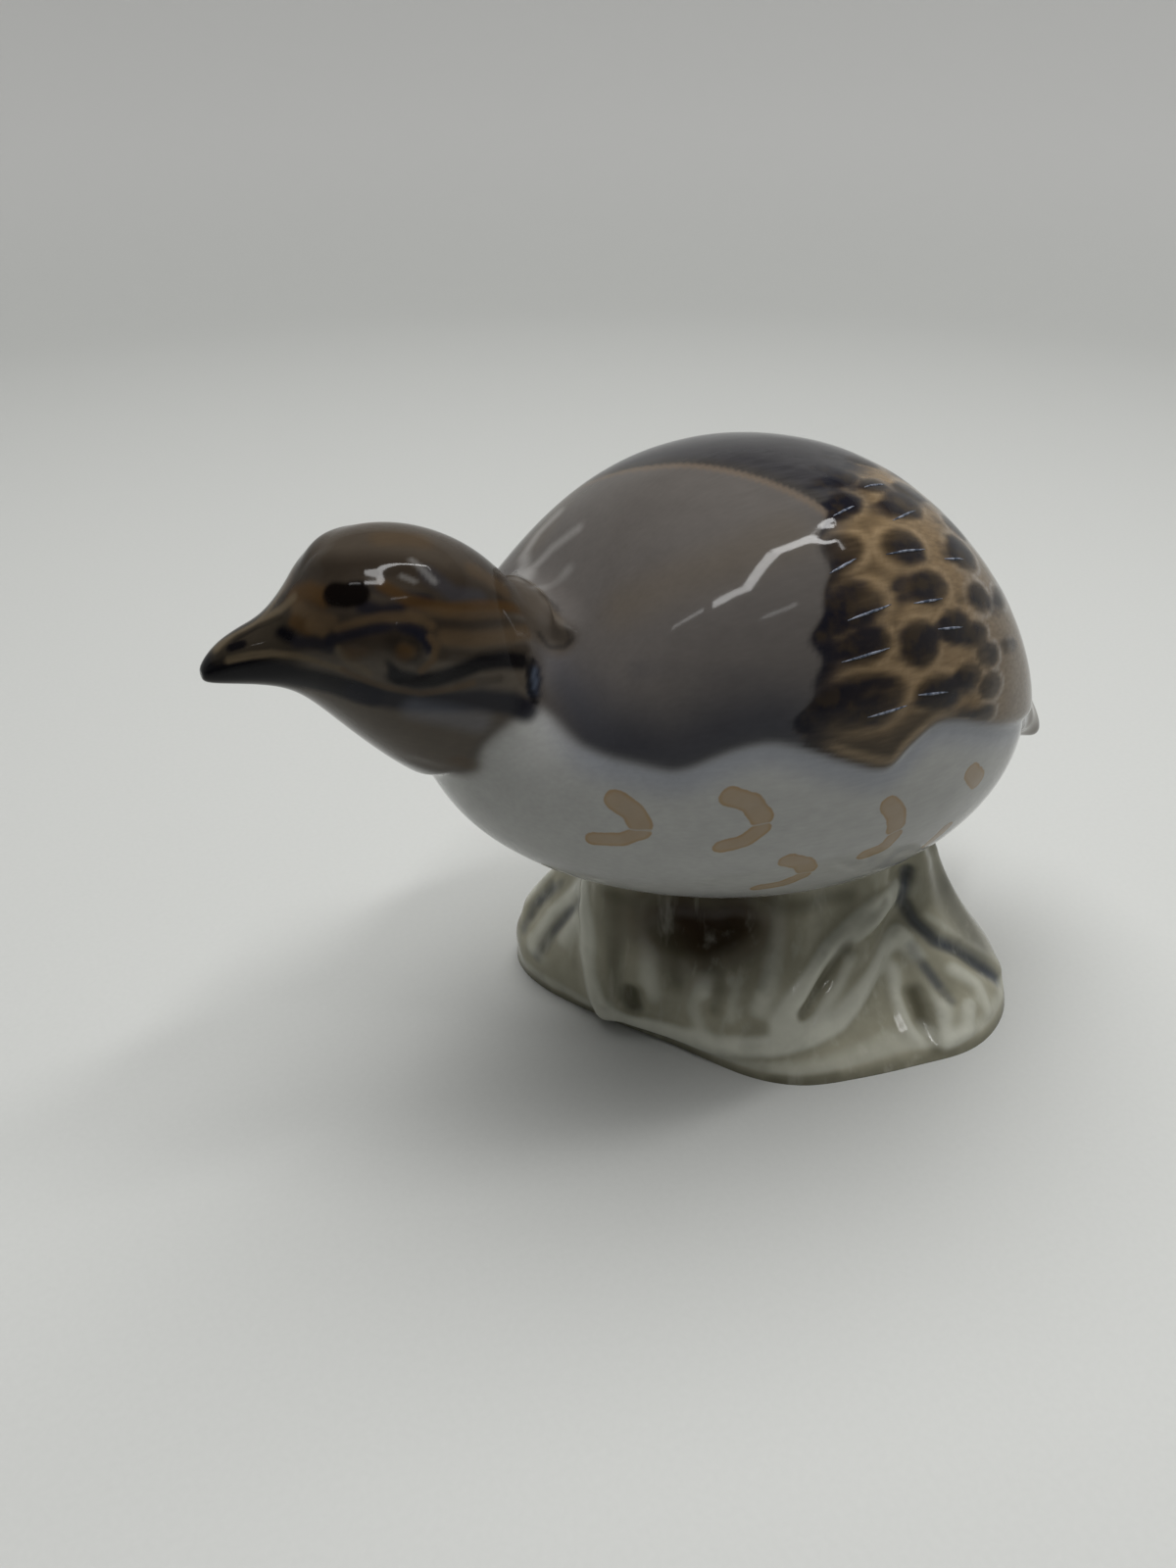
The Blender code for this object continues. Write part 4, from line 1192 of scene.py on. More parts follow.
    # Colour that has run into the hollows, and painted shade along the line where the belly sits on the mound
    pooled_and_contact_shade: tuple[Stroke, ...] = (
        Stroke(((-11.9, -2.2, 27.6), (-5.9, -5.7, 26.0), (-1.1, -9.4, 25.9), (2.9, -11.4, 25.9)),
            11.0, Tone.MOSS, 0.55, 1.0),
        Stroke(((-4.7, -6.5, 25.7), (-1.2, -9.5, 25.6), (2.9, -11.6, 25.6), (6.9, -12.3, 25.6)),
            16.0, Tone.OCHRE, 0.70, 1.0),
        Stroke(((-2.2, -8.3, 26.3), (0.7, -10.7, 25.7), (4.5, -11.9, 25.5)), 12.5, Tone.UMBER, 0.95, 1.0),
        Stroke(((-0.5, -11.6, 22.5), (-0.5, -13.4, 19.0)), 10.0, Tone.UMBER, 0.35, 1.0),
        Stroke(((-6.1, -6.1, 23.6), (-5.4, -10.0, 14.5)), 4.5, Tone.MOSS, 0.45, 1.0),
        Stroke(((-11.8, -5.9, 9.9), (-11.9, -6.2, 7.0)), 3.2, Tone.MOSS, 0.75, 1.0),
        Stroke(((-15.1, -1.5, 4.7),), 1.6, Tone.MOSS, 0.70),
        Stroke(((40.3, -18.7, 29.5), (39.3, -19.3, 23.7), (40.9, -22.0, 19.6), (43.6, -25.5, 16.6),
            (48.9, -26.9, 13.3), (53.5, -29.0, 9.1), (58.3, -29.9, 4.4)), 2.3, Tone.DUSK, 0.85, 1.0),
        Stroke(((39.5, -23.3, 15.6), (40.4, -26.5, 12.5), (41.3, -29.4, 10.3), (42.6, -33.1, 7.5)),
            1.8, Tone.DUSK, 0.45, 0.9),
        Stroke(((40.6, -26.9, 12.3), (41.6, -30.2, 9.8)), 1.5, Tone.DUSK, 0.40, 0.9),
        Stroke(((37.1, -28.4, 8.2), (36.5, -32.2, 5.2), (36.5, -37.1, 1.9)), 2.8, Tone.MOSS, 0.80, 1.0),
        Stroke(((50.2, -19.6, 23.3), (52.6, -23.0, 16.8), (55.2, -25.9, 11.9)), 7.0, Tone.DUSK, 0.35, 1.0),
        Stroke(((-21.7, 21.7, 10.2), (-19.4, 22.5, 14.0), (-16.1, 20.6, 19.2)), 2.2, Tone.DUSK, 0.45, 0.9),
        Stroke(((-18.3, 21.8, 15.7), (-14.9, 18.3, 21.1)), 1.8, Tone.DUSK, 0.35, 0.9),
        Stroke(((-21.5, 15.4, 7.3), (-19.1, 14.6, 12.1), (-16.3, 13.0, 17.2), (-14.6, 8.2, 24.1)),
            2.0, Tone.DUSK, 0.45, 0.9),
        Stroke(((-18.3, 14.3, 13.5), (-15.5, 11.8, 19.2)), 1.6, Tone.DUSK, 0.35, 0.9),
        Stroke(((33.7, -20.2, 25.7), (26.0, -21.3, 19.9), (19.8, -23.0, 14.5), (12.3, -26.3, 11.1)),
            1.9, Tone.MOSS, 0.50),
        Stroke(((-13.3, -0.8, 28.1), (-14.4, -3.4, 9.0)), 3.4, Tone.MOSS, 0.35, 1.0),
        Stroke(((1.2, -15.0, 17.6), (-1.1, -18.0, 11.0)), 2.2, Tone.MOSS, 0.30, 0.9),
        # Painted shade along the line where the belly sits on the mound
        Stroke(((-13.9, 0.4, 29.6), (-5.8, -5.2, 28.9), (3.3, -10.6, 28.8), (15.7, -16.4, 28.2),
            (27.5, -18.1, 27.6)), 3.0, Tone.MOSS, 0.55, 1.0),
        Stroke(((15.0, -34.3, 1.4), (5.3, -30.0, 0.5)), 2.6, Tone.MOSS, 0.40, 0.9),
    )

    def ring(self, column: int, heights: np.ndarray | float) -> np.ndarray:
        """One ring of corners from a column of the fold table.

        Args:
            column: Which column.
            heights: The height of each corner, or of all.

        Returns:
            The ring.
        """
        flat = np.array([fold[column] for fold in self.folds], float) / 100 * (self.length, self.width)
        ring = np.empty((len(flat), 3))
        ring[:, 0] = flat[:, 0] + self.behind + SHIFT[0]
        ring[:, 1] = flat[:, 1] + SHIFT[1]
        ring[:, 2] = heights
        return ring

    def cage(self) -> Cage:
        """The mound's corners, from below the ground to inside the belly.

        Returns:
            The cage.
        """
        rims = np.array([fold[2] for fold in self.folds]) * self.rim
        rings = [
            self.ring(0, -self.rim),
            self.ring(0, 0.15 * self.rim),
            self.ring(1, rims),
            self.ring(3, 0.6 * self.belly_clearance),
            self.ring(4, self.belly_clearance + 0.2 * self.hug),
            self.ring(4, self.belly_clearance + self.hug),
        ]
        return Cage(np.array([2 * rings[0] - rings[1], *rings, 2 * rings[-1] - rings[-2]]))

    def slopes(self) -> np.ndarray:
        """The points of the mound's sides, cut flat at the ground, ring by ring upwards.

        Returns:
            The points.
        """
        fine = np.linspace(1.0, self.kept, FINE_STEPS)
        around = np.arange(self.turns) / self.turns * len(self.folds)
        grid = self.cage().grid(fine, around)
        above = np.argmax(grid[..., 2] > 0, axis=0)
        column = np.arange(self.turns)
        low, high = grid[above - 1, column, 2], grid[above, column, 2]
        start = above - 1 + (0 - low) / (high - low)
        share = np.linspace(0, 1, self.rings)[:, None]
        place = start + share * (len(fine) - 1.001 - start)
        whole = np.floor(place).astype(int)
        part = (place - whole)[..., None]
        sides = grid[whole, column] * (1 - part) + grid[whole + 1, column] * part
        sides[0, :, 2] = 0.0
        hidden = ease(sides[..., 1], *self.hidden_side)
        beside, behind = self.draw_in
        pull = beside * hidden + behind * (1 - hidden) * ease(sides[..., 0], *self.rear)
        inwards = self.middle()[:2] - (self.neck_ahead, 0.0) - sides[..., :2]
        sides[..., :2] += (pull * ease(sides[..., 2], *self.neck_height))[..., None] * inwards
        return sides

    def middle(self) -> np.ndarray:
        """The middle of the underside."""
        return np.array((self.behind + SHIFT[0], SHIFT[1], 0.0))

    def underside(self, outline: np.ndarray) -> np.ndarray:
        """Rings from inside the air hole out to the ground outline, over recess and foot ring.

        Args:
            outline: The outline on the ground.

        Returns:
            The rings, from the innermost to the one beside the outline.
        """
        middle = self.middle()
        spoke = outline - middle
        length = np.linalg.norm(spoke, axis=1, keepdims=True)
        way = spoke / length
        hole = self.air_hole / 2
        rings = [middle + way * hole + (0, 0, depth + self.recess) for depth in self.hole_depths]
        lip = hole + self.bevel
        rings.append(middle + way * lip + (0, 0, self.recess))
        inner = length - self.foot_ring
        edge = inner - self.ring_edge
        for share in np.linspace(0.12, 1.0, 14):
            rings.append(middle + way * (lip * (1 - share) + edge * share) + (0, 0, self.recess))
        for turn in np.linspace(0.2, 1.0, 4) * math.pi / 2:
            step = np.array((0, 0, self.recess * math.cos(turn)))
            rings.append(middle + way * (edge + self.ring_edge * math.sin(turn)) + step)
        for share in (0.2, 0.4, 0.6, 0.8, 0.93):
            rings.append(middle + way * (inner + self.foot_ring * share))
        return np.array(rings)

    def rise(self, points: np.ndarray) -> np.ndarray:
        """How far the folds stand out of, or sink into, the plain slope.

        Args:
            points: The points.

        Returns:
            One height for each point.
        """
        rise = carved(np.zeros(points.shape[:-1]), points, self.carving)
        hidden = ease(points[..., 1] - 0.25 * points[..., 0], -4, 10)
        turn = np.arctan2(points[..., 1], points[..., 0] - self.middle()[0])
        sway = self.pleat_sway * points[..., 2] * np.sin(3 * turn + 1.0)
        pleats = np.sin(23 * (turn + sway)) + 0.6 * np.sin(37 * (turn - sway) + 1.7) + 0.5 * np.sin(9 * turn)
        rise = rise + hidden * self.pleat_height * pleats
        return softened(rise, self.softening) * ease(points[..., 2], 0.0, 3.0)

    def wash(self, points: np.ndarray, rise: np.ndarray) -> np.ndarray:
        """The green-grey glaze, thin and pale on the ridges, dark where it pools in the grooves, with painted
        shade where the belly sits on it.

        Args:
            points: The points.
            rise: How far each point stands out.

        Returns:
            One colour for each point.
        """
        ground = Ground(Tone.CELADON, len(points))
        ground.spray(Tone.RIDGE, 0.85 * ease(rise, 0.15, 0.85))
        ground.spray(Tone.MOSS, 0.75 * ease(-rise, 0.10, 0.9))
        for stroke in self.pooled_and_contact_shade:
            ground.spray(stroke.tone, stroke.mask(points))
        height = points[:, 2]
        ground.spray(Tone.RIDGE, 0.45 * (ease(height, 1.4, 2.6) * (1 - ease(height, 3.2, 5.2))))
        ground.spray(Tone.MOSS, 0.50 * (1 - ease(height, 0.4, 2.2)))
        return ground.colour

    def build(self, name: str) -> bpy.types.Object:
        """Makes the mound's mesh with its folds, underside and painted layers.

        Args:
            name: Name of the piece.

        Returns:
            The mound, without a material.
        """
        sides = self.slopes()
        normals = softened(grid_normals(sides), self.turn_softening)
        normals = normals / np.linalg.norm(normals, axis=-1, keepdims=True)
        rise = self.rise(sides)
        sides = sides + rise[..., None] * normals
        under = self.underside(sides[0])
        rings = np.concatenate([under, sides])
        first = self.middle() + (0, 0, self.hole_depths[0] + self.recess)
        last = sides[-1].mean(axis=0)
        mesh = closed_mesh(name, rings, first, last)
        rises = np.concatenate([np.zeros(under.shape[:2]).ravel(), rise.ravel(), [0, 0]])
        places = np.concatenate([rings.reshape(-1, 3), [first, last]])
        store(mesh, "wash", self.wash(places, rises))
        unglazed = np.concatenate([np.ones(under.shape[:2]).ravel(), np.zeros(rise.size), [1, 0]])
        store(mesh, "bare_foot", unglazed)
        return placed(name, mesh)


@dataclass(frozen=True)
class FeatherShafts:
    """The thin raised shafts of the scalloped feathers."""

    half_width: float = 0.21
    height: float = 0.17
    points: int = 12
    sides: int = 8
    blunt: float = 0.03
    fullness: float = 0.6

    def build(self, name: str, skin: bpy.types.Object) -> bpy.types.Object:
        """Lays a slender ridge along each feather's shaft on the finished skin.

        Args:
            name: Name of the piece.
            skin: The bird's finished skin.

        Returns:
            All shafts as one piece, without a material.
        """
        places = self.read(skin, "co") / MM
        normals = self.read(skin, "normal")
        vertices: list[list[float]] = []
        faces: list[tuple[int, ...]] = []
        for side in (-1, 1):
            for feather in FEATHERS:
                if feather.shaft:
                    self.lay(feather, side, places, normals, vertices, faces)
        mesh = bpy.data.meshes.new(name)
        mesh.from_pydata(vertices, [], faces)
        mesh.validate()
        mesh.shade_smooth()
        return placed(name, mesh)

    @staticmethod
    def read(skin: bpy.types.Object, what: str) -> np.ndarray:
        """One value of three numbers from each vertex of a mesh."""
        values = np.empty(len(skin.data.vertices) * 3, np.float32)
        skin.data.vertices.foreach_get(what, values)
        return values.reshape(-1, 3)

    def lay(
        self,
        feather: Feather,
        side: int,
        places: np.ndarray,
        normals: np.ndarray,
        vertices: list[list[float]],
        faces: list[tuple[int, ...]],
    ) -> None:
        """Adds one shaft.

        Args:
            feather: The feather that it belongs to.
            side: -1 for the bird's left and 1 for its right.
            places: The skin's points.
            normals: The skin's normals.
            vertices: The shafts' points, added to.
            faces: The shafts' faces, added to.
        """
        mirror = np.array((1.0, side, 1.0))
        start, end = np.array(feather.start) * mirror, np.array(feather.end) * mirror
        way = (end - start) / np.linalg.norm(end - start)
        first = len(vertices)
        for share in np.linspace(0, 1, self.points):
            place = start + (end - start) * share
            nearest = int(np.argmin(((places - place) ** 2).sum(axis=1)))
            up = normals[nearest].astype(float)
            place = place - ((place - places[nearest]) @ up) * up
            aside = np.cross(up, way)
            swell = math.sin(math.pi * min(max(share, self.blunt), 1 - self.blunt)) ** self.fullness
            for turn in np.arange(self.sides) / self.sides * math.tau:
                offset = aside * math.cos(turn) * self.half_width + up * math.sin(turn) * self.height
                vertices.append(list((place + offset * swell) * MM))
        for ring in range(self.points - 1):
            for turn in range(self.sides):
                start_of_ring = first + ring * self.sides
                here, after = start_of_ring + turn, start_of_ring + (turn + 1) % self.sides
                faces.append((here, after, after + self.sides, here + self.sides))
        faces.append(tuple(first + turn for turn in reversed(range(self.sides))))
        top = first + (self.points - 1) * self.sides
        faces.append(tuple(top + turn for turn in range(self.sides)))


class Tree:
    """A node tree being wired up."""

    def __init__(self, tree: bpy.types.NodeTree) -> None:
        """Starts from a tree."""
        self.tree = tree

    def link(self, output: Socket, taken: Socket) -> None:
        """Leads an output into an input."""
        self.tree.links.new(output, taken)

    def add(
        self, kind: str, inputs: dict[str | int, Value] | None = None, **settings: object
    ) -> bpy.types.Node:
        """Adds a node.

        Args:
            kind: The node's type.
            inputs: What each input takes: a value, or the output of another node.
            settings: The node's own settings.

        Returns:
            The node.
        """
        node = self.tree.nodes.new(kind)
        for key, value in settings.items():
            setattr(node, key, value)
        for key, value in (inputs or {}).items():
            if isinstance(value, Socket):
                self.link(value, node.inputs[key])
            else:
                node.inputs[key].default_value = value
        return node

    def math(
        self, operation: str, first: Value, second: Value = 0.0, third: Value = 0.0, clamp: bool = False
    ) -> Socket:
        """The result of a sum on numbers or outputs.

        Args:
            operation: Which sum.
            first: Its first number.
            second: Its second number.
            third: Its third number, where it has one.
            clamp: Whether the result is kept from 0 to 1.

        Returns:
            The result.
        """
        numbers = {0: first, 1: second, 2: third}
        return self.add("ShaderNodeMath", numbers, operation=operation, use_clamp=clamp).outputs[0]

    def mix(self, share: Value, first: Value, second: Value, blend: str = "MIX") -> Socket:
        """Two colours mixed by a share."""
        inputs = {"Factor": share, 6: first, 7: second}
        return self.add("ShaderNodeMix", inputs, data_type="RGBA", blend_type=blend).outputs[2]

    def step(self, value: Value, low: Value, high: Value) -> Socket:
        """A smooth step of a value from 0 to 1."""
        inputs = {"Value": value, "From Min": low, "From Max": high}
        return self.add("ShaderNodeMapRange", inputs, interpolation_type="SMOOTHSTEP").outputs["Result"]

    def noise(self, vector: Socket, scale: Value, detail: float = 2.0) -> Socket:
        """Noise, as a number round one half."""
        inputs = {"Vector": vector, "Scale": scale, "Detail": detail}
        return self.add("ShaderNodeTexNoise", inputs).outputs["Fac"]

    def grey(self, level: Socket) -> Socket:
        """A number as a grey colour."""
        return self.add("ShaderNodeCombineColor", {0: level, 1: level, 2: level}).outputs[0]

    def stretched(self, vector: Socket, scale: Point) -> Socket:
        """A vector stretched along its axes."""
        return self.add("ShaderNodeMapping", {"Vector": vector, "Scale": scale}).outputs["Vector"]

    def layer(self, name: str) -> bpy.types.Node:
        """A layer kept at the mesh's vertices."""
        return self.add("ShaderNodeAttribute", attribute_name=name)

    def place(self, group: bpy.types.NodeTree, inputs: dict[str, Value]) -> bpy.types.Node:
        """A shared group with its values."""
        return self.add("ShaderNodeGroup", inputs, node_tree=group)


Sockets = bpy.types.bpy_prop_collection


def new_group(
    name: str, inputs: dict[str, tuple[str, float]], outputs: dict[str, str]
) -> tuple[Tree, Sockets, Sockets]:
    """Starts a shared node group.

    Args:
        name: Name of the group.
        inputs: Type and first value of each input.
        outputs: Type of each output.

    Returns:
        The tree, what it is given and what it puts out.
    """
    group = bpy.data.node_groups.new(name, "ShaderNodeTree")
    for key, (kind, value) in inputs.items():
        socket = group.interface.new_socket(key, in_out="INPUT", socket_type=f"NodeSocket{kind}")
        if kind == "Float":
            socket.default_value = value
    for key, kind in outputs.items():
        group.interface.new_socket(key, in_out="OUTPUT", socket_type=f"NodeSocket{kind}")
    tree = Tree(group)
    return tree, tree.add("NodeGroupInput").outputs, tree.add("NodeGroupOutput").inputs


class SharedEffects:
    """The node groups that the finishes share."""

    def __init__(self) -> None:
        """Builds each group once."""
        self.mottle = self.make_mottle()
        self.edge = self.make_edge()
        self.ripple = self.make_ripple()

    @staticmethod
    def make_mottle() -> bpy.types.NodeTree:
        """Cloudy unevenness of a sprayed colour under the glaze.

        Returns:
            The group.
        """
        tree, given, made = new_group(
            "glaze_mottle",
            {
                "Color": ("Color", 0),
                "Vector": ("Vector", 0),
                "Scale": ("Float", 300.0),
                "Amount": ("Float", 0.1),
            },
            {"Color": "Color"},
        )
        cloud = tree.noise(given["Vector"], given["Scale"], 4.0)
        swing = tree.math("MULTIPLY", tree.math("SUBTRACT", cloud, 0.5), given["Amount"])
        level = tree.grey(tree.math("MULTIPLY_ADD", swing, 4.0, 1.0))
        tree.link(tree.mix(1.0, given["Color"], level, "MULTIPLY"), made["Color"])
        return tree.tree

    @staticmethod
    def make_edge() -> bpy.types.NodeTree:
        """The mask of a painted shape from the distance inside it, with an unsteady, soft edge.

        Returns:
            The group.
        """
        tree, given, made = new_group(
            "brush_edge",
            {
                "Distance": ("Float", 0.0),
                "Vector": ("Vector", 0),
                "Wobble": ("Float", 0.3),
                "Scale": ("Float", 500.0),
                "Softness": ("Float", 0.3),
            },
            {"Mask": "Float"},
        )
        wave = tree.math("SUBTRACT", tree.noise(given["Vector"], given["Scale"]), 0.5)
        wobble = tree.math("MULTIPLY", given["Wobble"], 4.0)
        moved = tree.math("MULTIPLY_ADD", wave, wobble, given["Distance"])
        low = tree.math("MULTIPLY", given["Softness"], -1.0)
        tree.link(tree.step(moved, low, given["Softness"]), made["Mask"])
        return tree.tree

    @staticmethod
    def make_ripple() -> bpy.types.NodeTree:
        """The faint waviness of a thick glaze.

        Returns:
            The group.
        """
        tree, given, made = new_group(
            "glaze_ripple", {"Vector": ("Vector", 0), "Scale": ("Float", 60.0)}, {"Height": "Float"}
        )
        broad = tree.noise(given["Vector"], given["Scale"], 1.0)
        fine = tree.noise(given["Vector"], tree.math("MULTIPLY", given["Scale"], 9.0), 1.0)
        tree.link(tree.math("MULTIPLY_ADD", fine, 0.012, broad), made["Height"])
        return tree.tree


@dataclass(frozen=True)
class Finish:
    """A finish with its name, and how its material starts."""

    name: str

    def start(self) -> tuple[bpy.types.Material, Tree, Socket]:
        """A new material, its tree and the place on the piece in metres.

        Returns:
            The material, the tree and the place.
        """
        material = bpy.data.materials.new(self.name)
        material.use_nodes = True
        tree = Tree(material.node_tree)
        return material, tree, tree.add("ShaderNodeTexCoord").outputs["Object"]


@dataclass(frozen=True)
class GlazeFinish(Finish):
    """A clear glaze over painted porcelain."""

    roughness: float = 0.06
    haze: float = 0.05
    haze_scale: float = 180.0
    dulling: float = 0.55
    ripple: float = 0.0006
    ripple_scale: float = 70.0
    ripple_strength: float = 0.5
    mottle: float = 0.05
    mottle_scale: float = 260.0
    index: float = 1.5
    specular: float = 0.18

    def finish(self, tree: Tree, effects: SharedEffects, place: Socket, colour: Socket) -> None:
        """Wires a colour into the glaze.

        Args:
            tree: The material's tree.
            effects: The shared groups.
            place: The place on the piece.
            colour: The painted colour.
        """
        shader = tree.tree.nodes["Principled BSDF"]
        values = {"Color": colour, "Vector": place, "Scale": self.mottle_scale, "Amount": self.mottle}
        tree.link(tree.place(effects.mottle, values).outputs["Color"], shader.inputs["Base Color"])
        haze = tree.noise(place, self.haze_scale, 3.0)
        rough = tree.math("MULTIPLY_ADD", haze, self.haze, self.roughness - 0.02)
        rough = tree.math("MULTIPLY_ADD", tree.layer("dulled").outputs["Fac"], self.dulling, rough)
        tree.link(rough, shader.inputs["Roughness"])
        height = tree.place(effects.ripple, {"Vector": place, "Scale": self.ripple_scale}).outputs["Height"]
        values = {"Height": height, "Distance": self.ripple, "Strength": self.ripple_strength}
        tree.link(tree.add("ShaderNodeBump", values).outputs["Normal"], shader.inputs["Normal"])
        shader.inputs["IOR"].default_value = self.index
        shader.inputs["Specular IOR Level"].default_value = self.specular


@dataclass(frozen=True)
class BirdGlaze(GlazeFinish):
    """The bird's painting: sprayed grounds, fine barbs, dark patches and brushed marks."""

    barb_stretch: Point = (0.16, 1.0, 1.0)
    barb_scale: float = 1500.0
    blot_stretch: Point = (0.4, 1.0, 1.0)
    blot_wobble: float = 3.4
    blot_scale: float = 210.0
    blot_softness: float = 1.9
    blot_strength: float = 0.84
    mark_wobble: float = 0.16
    mark_scale: float = 520.0
    mark_softness: float = 0.16
    mark_gap: float = -0.55
    mark_pigment: Span = (0.72, 0.20)

    def build(self, effects: SharedEffects) -> bpy.types.Material:
        """Makes the material.

        Args:
            effects: The shared groups.

        Returns:
            The material.
        """
        material, tree, place = self.start()
        colour = self.combed(tree, place, tree.layer("wash").outputs["Color"])
        colour = self.blotted(tree, effects, place, colour)
        colour = self.marked(tree, effects, place, colour)
        self.finish(tree, effects, place, colour)
        return material

    def combed(self, tree: Tree, place: Socket, colour: Socket) -> Socket:
        """The colour with fine barbs brushed through it.

        Args:
            tree: The material's tree.
            place: The place on the piece.
            colour: The colour before.

        Returns:
            The colour after.
        """
        hair = tree.noise(tree.stretched(place, self.barb_stretch), self.barb_scale, 3.0)
        strands = tree.mix(1.0, colour, tree.grey(tree.math("MULTIPLY_ADD", hair, 1.1, 0.45)), "MULTIPLY")
        share = tree.math("MULTIPLY_ADD", tree.layer("barbs").outputs["Fac"], 0.55, 0.18)
        return tree.mix(share, colour, strands)

    def blotted(self, tree: Tree, effects: SharedEffects, place: Socket, colour: Socket) -> Socket:
        """The colour with the dark patches of the scalloped feathers over it.

        Args:
            tree: The material's tree.
            effects: The shared groups.
            place: The place on the piece.
            colour: The colour before.

        Returns:
            The colour after.
        """
        values = {
            "Distance": tree.layer("patch").outputs["Fac"],
            "Vector": tree.stretched(place, self.blot_stretch),
            "Wobble": self.blot_wobble,
            "Scale": self.blot_scale,
            "Softness": self.blot_softness,
        }
        blot = tree.place(effects.edge, values).outputs["Mask"]
        cloud = tree.step(tree.noise(place, 330.0, 3.0), 0.42, 0.66)
        dark = tree.mix(cloud, rgba(Tone.NAVY), rgba(Tone.CHEEK))
        blot = tree.math("MULTIPLY", blot, tree.step(tree.layer("barbs").outputs["Fac"], 0.1, 0.6))
        return tree.mix(tree.math("MULTIPLY", blot, self.blot_strength), colour, dark)

    def marked(self, tree: Tree, effects: SharedEffects, place: Socket, colour: Socket) -> Socket:
        """The colour with the belly's brushed marks over it.

        Args:
            tree: The material's tree.
            effects: The shared groups.
            place: The place on the piece.
            colour: The colour before.

        Returns:
            The colour after.
        """
        upper, lower = (tree.layer(side).outputs["Fac"] for side in ("mark_upper", "mark_lower"))
        whole = tree.math("MAXIMUM", upper, lower)
        values = {
            "Distance": whole,
            "Vector": place,
            "Wobble": self.mark_wobble,
            "Scale": self.mark_scale,
            "Softness": self.mark_softness,
        }
        mark = tree.place(effects.edge, values).outputs["Mask"]
        gap = tree.step(tree.math("ABSOLUTE", tree.math("SUBTRACT", upper, lower)), 0.42, 0.10)
        mark = tree.math("MULTIPLY", mark, tree.math("MULTIPLY_ADD", gap, self.mark_gap, 1.0))
        level, more_inside = self.mark_pigment
        pigment = tree.math("MULTIPLY_ADD", tree.step(whole, 0.80, 0.10), more_inside, level)
        streaky = tree.math("MULTIPLY_ADD", tree.noise(place, 240.0, 3.0), 0.35, 0.82)
        share = tree.math("MULTIPLY", tree.math("MULTIPLY", mark, pigment), streaky, clamp=True)
        return tree.mix(share, colour, rgba(Tone.BRUSH))


@dataclass(frozen=True)
class MoundGlaze(GlazeFinish):
    """The mound's green-grey glaze, streaked down its folds, and its bare foot."""

    run_stretch: Point = (1.0, 1.0, 0.16)
    run_scale: float = 330.0
    run_strength: float = 0.24
    stain_scale: float = 120.0
    stain_strength: float = 0.22

    def build(self, effects: SharedEffects) -> bpy.types.Material:
        """Makes the material.

        Args:
            effects: The shared groups.

        Returns:
            The material.
        """
        material, tree, place = self.start()
        colour = tree.layer("wash").outputs["Color"]
        runs = tree.step(tree.noise(tree.stretched(place, self.run_stretch), self.run_scale, 3.0), 0.52, 0.78)
        colour = tree.mix(tree.math("MULTIPLY", runs, self.run_strength), colour, rgba(Tone.RIDGE))
        stain = tree.step(tree.noise(place, self.stain_scale, 3.0), 0.52, 0.75)
        colour = tree.mix(tree.math("MULTIPLY", stain, self.stain_strength), colour, rgba(Tone.MOSS))
        colour = tree.mix(tree.layer("bare_foot").outputs["Fac"], colour, rgba(Tone.BISQUE))
        self.finish(tree, effects, place, colour)
        return material


@dataclass(frozen=True)
class ShaftGlaze(GlazeFinish):
    """Pale blue-grey over the raised shafts: partly their own pale streaks, partly a painted highlight along
    their ridges.
    """

    streak_scale: float = 900.0

    def build(self, effects: SharedEffects) -> bpy.types.Material:
        """Makes the material.

        Args:
            effects: The shared groups.

        Returns:
            The material.
        """
        material, tree, place = self.start()
        # Painted highlight mixed with the shafts' own pale colour
        streak = tree.step(tree.noise(place, self.streak_scale), 0.35, 0.65)
        self.finish(tree, effects, place, tree.mix(streak, rgba(Tone.DUSK), rgba(Tone.SHADE)))
        return material


@dataclass(frozen=True)
class PaperFinish(Finish):
    """The pale paper of floor and sweep, and the grey cloth that hangs on one side of the room."""

    roughness: float = 0.9
    grain_scale: float = 900.0
    # Heights, in metres, between which the paper turns into the backdrop, and the cloth begins
    far: Span = (-0.01, 0.09)
    hem: Span = (0.01, 0.12)
    # The side of the room where the cloth hangs, seen from above, and how far that way it begins
    cloth_side: Span = (-0.45, -0.89)
    cloth_start: Span = (-0.1, 0.5)

    def build(self) -> bpy.types.Material:
        """Makes the material.

        Returns:
            The material.
        """
        material, tree, place = self.start()
        grain = tree.noise(place, self.grain_scale)
        colour = tree.mix(grain, rgba(Tone.PAPER), rgba(Tone.PAPER_LIGHT))
        level = tree.add("ShaderNodeSeparateXYZ", {"Vector": place}).outputs
        colour = tree.mix(tree.step(level["Z"], *self.far), colour, rgba(Tone.BACKDROP))
        along, across = self.cloth_side
        front = tree.math("MULTIPLY_ADD", level["X"], along, tree.math("MULTIPLY", level["Y"], across))
        cloth = tree.math("MULTIPLY", tree.step(front, *self.cloth_start), tree.step(level["Z"], *self.hem))
        shader = tree.tree.nodes["Principled BSDF"]
        tree.link(tree.mix(cloth, colour, rgba(Tone.CLOTH)), shader.inputs["Base Color"])
        shader.inputs["Roughness"].default_value = self.roughness
        return material


